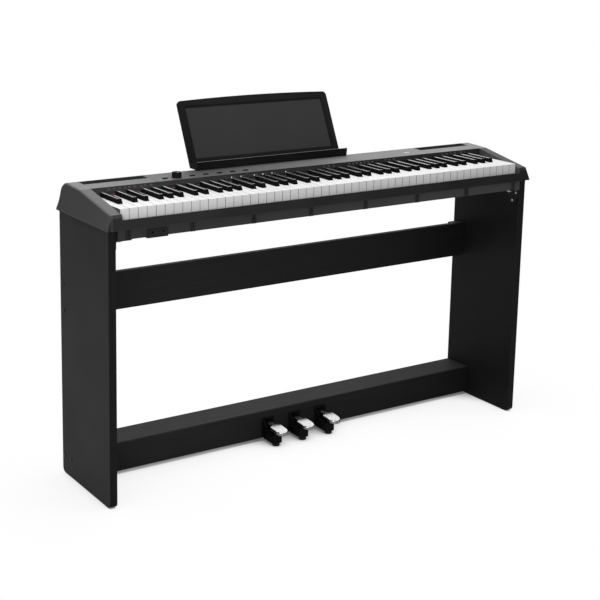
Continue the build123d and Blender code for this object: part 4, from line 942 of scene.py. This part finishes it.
def on_strip(x, height, out):
    """A point on the strip's face, moved out from it."""
    return Vector((x, FRONT_Y + along(STRIP_FACE, height, True) - out, height))


def on_deck(x, depth, out):
    """A point on the control panel, moved up from it."""
    return Vector((x, FRONT_Y + depth, along(DECK_LINE, depth, False) + out))


def add_print(mesh, surface, outline, ink):
    """A thin print: the outline's points put on a surface, with a low wall down into it."""
    top = [mesh.verts.new(surface(u, v, PRINT_HEIGHT)) for u, v in outline]
    foot = [mesh.verts.new(surface(u, v, -PRINT_HEIGHT)) for u, v in outline]
    faces = [mesh.faces.new(top)]
    for i in range(len(outline)):
        j = (i + 1) % len(outline)
        faces.append(mesh.faces.new((top[i], foot[i], foot[j], top[j])))
    for face in faces:
        face.material_index = ink


def disc(u, v, radius, count=DISC_POINTS):
    """A round outline."""
    turns = [2 * math.pi * i / count for i in range(count)]
    return [(u + radius * math.cos(t), v + radius * math.sin(t)) for t in turns]


def bar(u, v, length, width):
    """The outline of a bar with rounded ends."""
    half, round_ = length / 2, width / 2
    right = [(u + half + round_ * math.cos(t), v + round_ * math.sin(t)) for t in CAP_TURNS]
    left = [(2 * u - a, 2 * v - b) for a, b in right]
    return right + left


def skin(mesh, rings):
    """Walls from each ring of points to the next, and a cap at each end."""
    sides = len(rings[0])
    for first, second in zip(rings, rings[1:]):
        for i in range(sides):
            j = (i + 1) % sides
            mesh.faces.new((first[i], first[j], second[j], second[i]))
    mesh.faces.new(rings[0])
    mesh.faces.new(rings[-1])


def finish_piece(mesh, name, inks, body):
    """Turn a mesh in the making into a named piece that rides on a body."""
    bmesh.ops.recalc_face_normals(mesh, faces=mesh.faces)
    data = bpy.data.meshes.new(name)
    mesh.to_mesh(data)
    mesh.free()
    for ink in inks:
        data.materials.append(ink)
    piece = bpy.data.objects.new(name, data)
    scene.collection.objects.link(piece)
    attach(piece, body)
    return piece


def make_strip_marks(looks):
    """White dots and small generic ticks on the strip behind the keys."""
    mesh = bmesh.new()
    for x in STRIP_DOTS:
        add_print(mesh, on_strip, disc(x, DOT_LEVEL, DOT_RADIUS), 0)
        add_print(mesh, on_strip, bar(x + DOT_TICK_ASIDE, LOWER_LEVEL, *DOT_TICK), 1)
    for start, end, count in LABEL_SPANS:
        for i in range(count):
            shift = dice.uniform(-LABEL_JITTER, LABEL_JITTER)
            x = start + (end - start) * (i + shift) / (count - 1)
            upper = bar(x, UPPER_LEVEL, dice.uniform(*UPPER_LENGTHS), UPPER_WIDTH)
            add_print(mesh, on_strip, upper, 1)
            lower = bar(x + LOWER_ASIDE, LOWER_LEVEL, dice.uniform(*LOWER_LENGTHS), LOWER_WIDTH)
            add_print(mesh, on_strip, lower, 1)
    inks = [looks["print_white"], looks["print_grey"]]
    finish_piece(mesh, "strip_marks", inks, "piano")


def make_panel_marks(looks):
    """Ticks by the buttons and knob, a broken hairline in place of a name, a small label bar."""
    mesh = bmesh.new()
    for x in BUTTON_X:
        add_print(mesh, on_deck, bar(x, BUTTON_TICK_DEPTH, *BUTTON_TICK), 0)
    for turn in RING_TURNS:
        angle = math.radians(turn)
        place = (KNOB_X + RING_RADIUS * math.sin(angle), BUTTON_DEPTH + RING_RADIUS * math.cos(angle))
        add_print(mesh, on_deck, disc(*place, RING_POINT, RING_POINT_SIDES), 0)
    x, last = HAIRLINE
    while x < last:
        length = dice.uniform(*HAIRLINE_LENGTHS)
        add_print(mesh, on_deck, bar(x + length / 2, HAIRLINE_DEPTH, length, HAIRLINE_WIDTH), 0)
        x += length + HAIRLINE_GAP
    add_print(mesh, on_deck, bar(*LABEL_BAR), 1)
    inks = [looks["print_grey"], looks["print_white"]]
    finish_piece(mesh, "panel_marks", inks, "piano")


def make_knob_pointer(looks):
    """A raised pointer on the volume knob: a tapered ridge from its middle over its front edge."""
    mesh = bmesh.new()
    centre_y = FRONT_Y + BUTTON_DEPTH
    rings = []
    for y, half, crest in POINTER_STATIONS:
        narrow = half * POINTER_CREST_SHARE
        top = KNOB_TOP + crest
        corners = ((-half, POINTER_FOOT), (-narrow, top), (narrow, top), (half, POINTER_FOOT))
        rings.append([mesh.verts.new((KNOB_X + x, centre_y + y, z)) for x, z in corners])
    skin(mesh, rings)
    finish_piece(mesh, "knob_pointer", [looks["print_white"]], "volume_knob")


# ---------- pedal springs ----------
PEDALS = (("left", -0.086), ("middle", 0.0), ("right", 0.086))
WALL_CORNERS = 4
SPRING_DEPTH = 0.214
SPRING_HEIGHTS = (0.0149, 0.0436)
SPRING_TURNS = 5
SPRING_RADIUS = 0.006
WIRE_RADIUS = 0.0009
STEPS_PER_TURN = 28
WIRE_SIDES = 10


def make_pedal_spring(side, x, look):
    """A coil of round wire that stands on the chassis; it rides on the piano in place of the CAD
    spring, which is hidden.
    """
    low, high = SPRING_HEIGHTS
    climb = (high - low) / (2 * math.pi * SPRING_TURNS)
    mesh = bmesh.new()
    rings = []
    for step in range(SPRING_TURNS * STEPS_PER_TURN + 1):
        turn = 2 * math.pi * step / STEPS_PER_TURN
        outward = Vector((math.cos(turn), math.sin(turn), 0.0))
        along_wire = Vector((-SPRING_RADIUS * math.sin(turn), SPRING_RADIUS * math.cos(turn), climb))
        over = along_wire.normalized().cross(outward)
        middle = Vector((x, FRONT_Y + SPRING_DEPTH, low + climb * turn)) + SPRING_RADIUS * outward
        ring = []
        for side_step in range(WIRE_SIDES):
            angle = 2 * math.pi * side_step / WIRE_SIDES
            offset = WIRE_RADIUS * (math.cos(angle) * outward + math.sin(angle) * over)
            ring.append(mesh.verts.new(middle + offset))
        rings.append(ring)
    skin(mesh, rings)
    for face in mesh.faces:
        face.smooth = len(face.verts) == WALL_CORNERS
    coil = finish_piece(mesh, side + "_pedal_coil", [look], "piano")
    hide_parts(side + "_pedal_spring")
    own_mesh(coil)


# ---------- the scene ----------
make_camera()
make_world()
make_floor()
for softbox, settings in SOFTBOXES.items():
    add_softbox(softbox, *settings)
scene.view_settings.view_transform = "Standard"
looks = make_materials()
dress_nodes(looks)
make_strip_marks(looks)
make_panel_marks(looks)
make_knob_pointer(looks)
for side, x in PEDALS:
    make_pedal_spring(side, x, looks["spring_steel"])
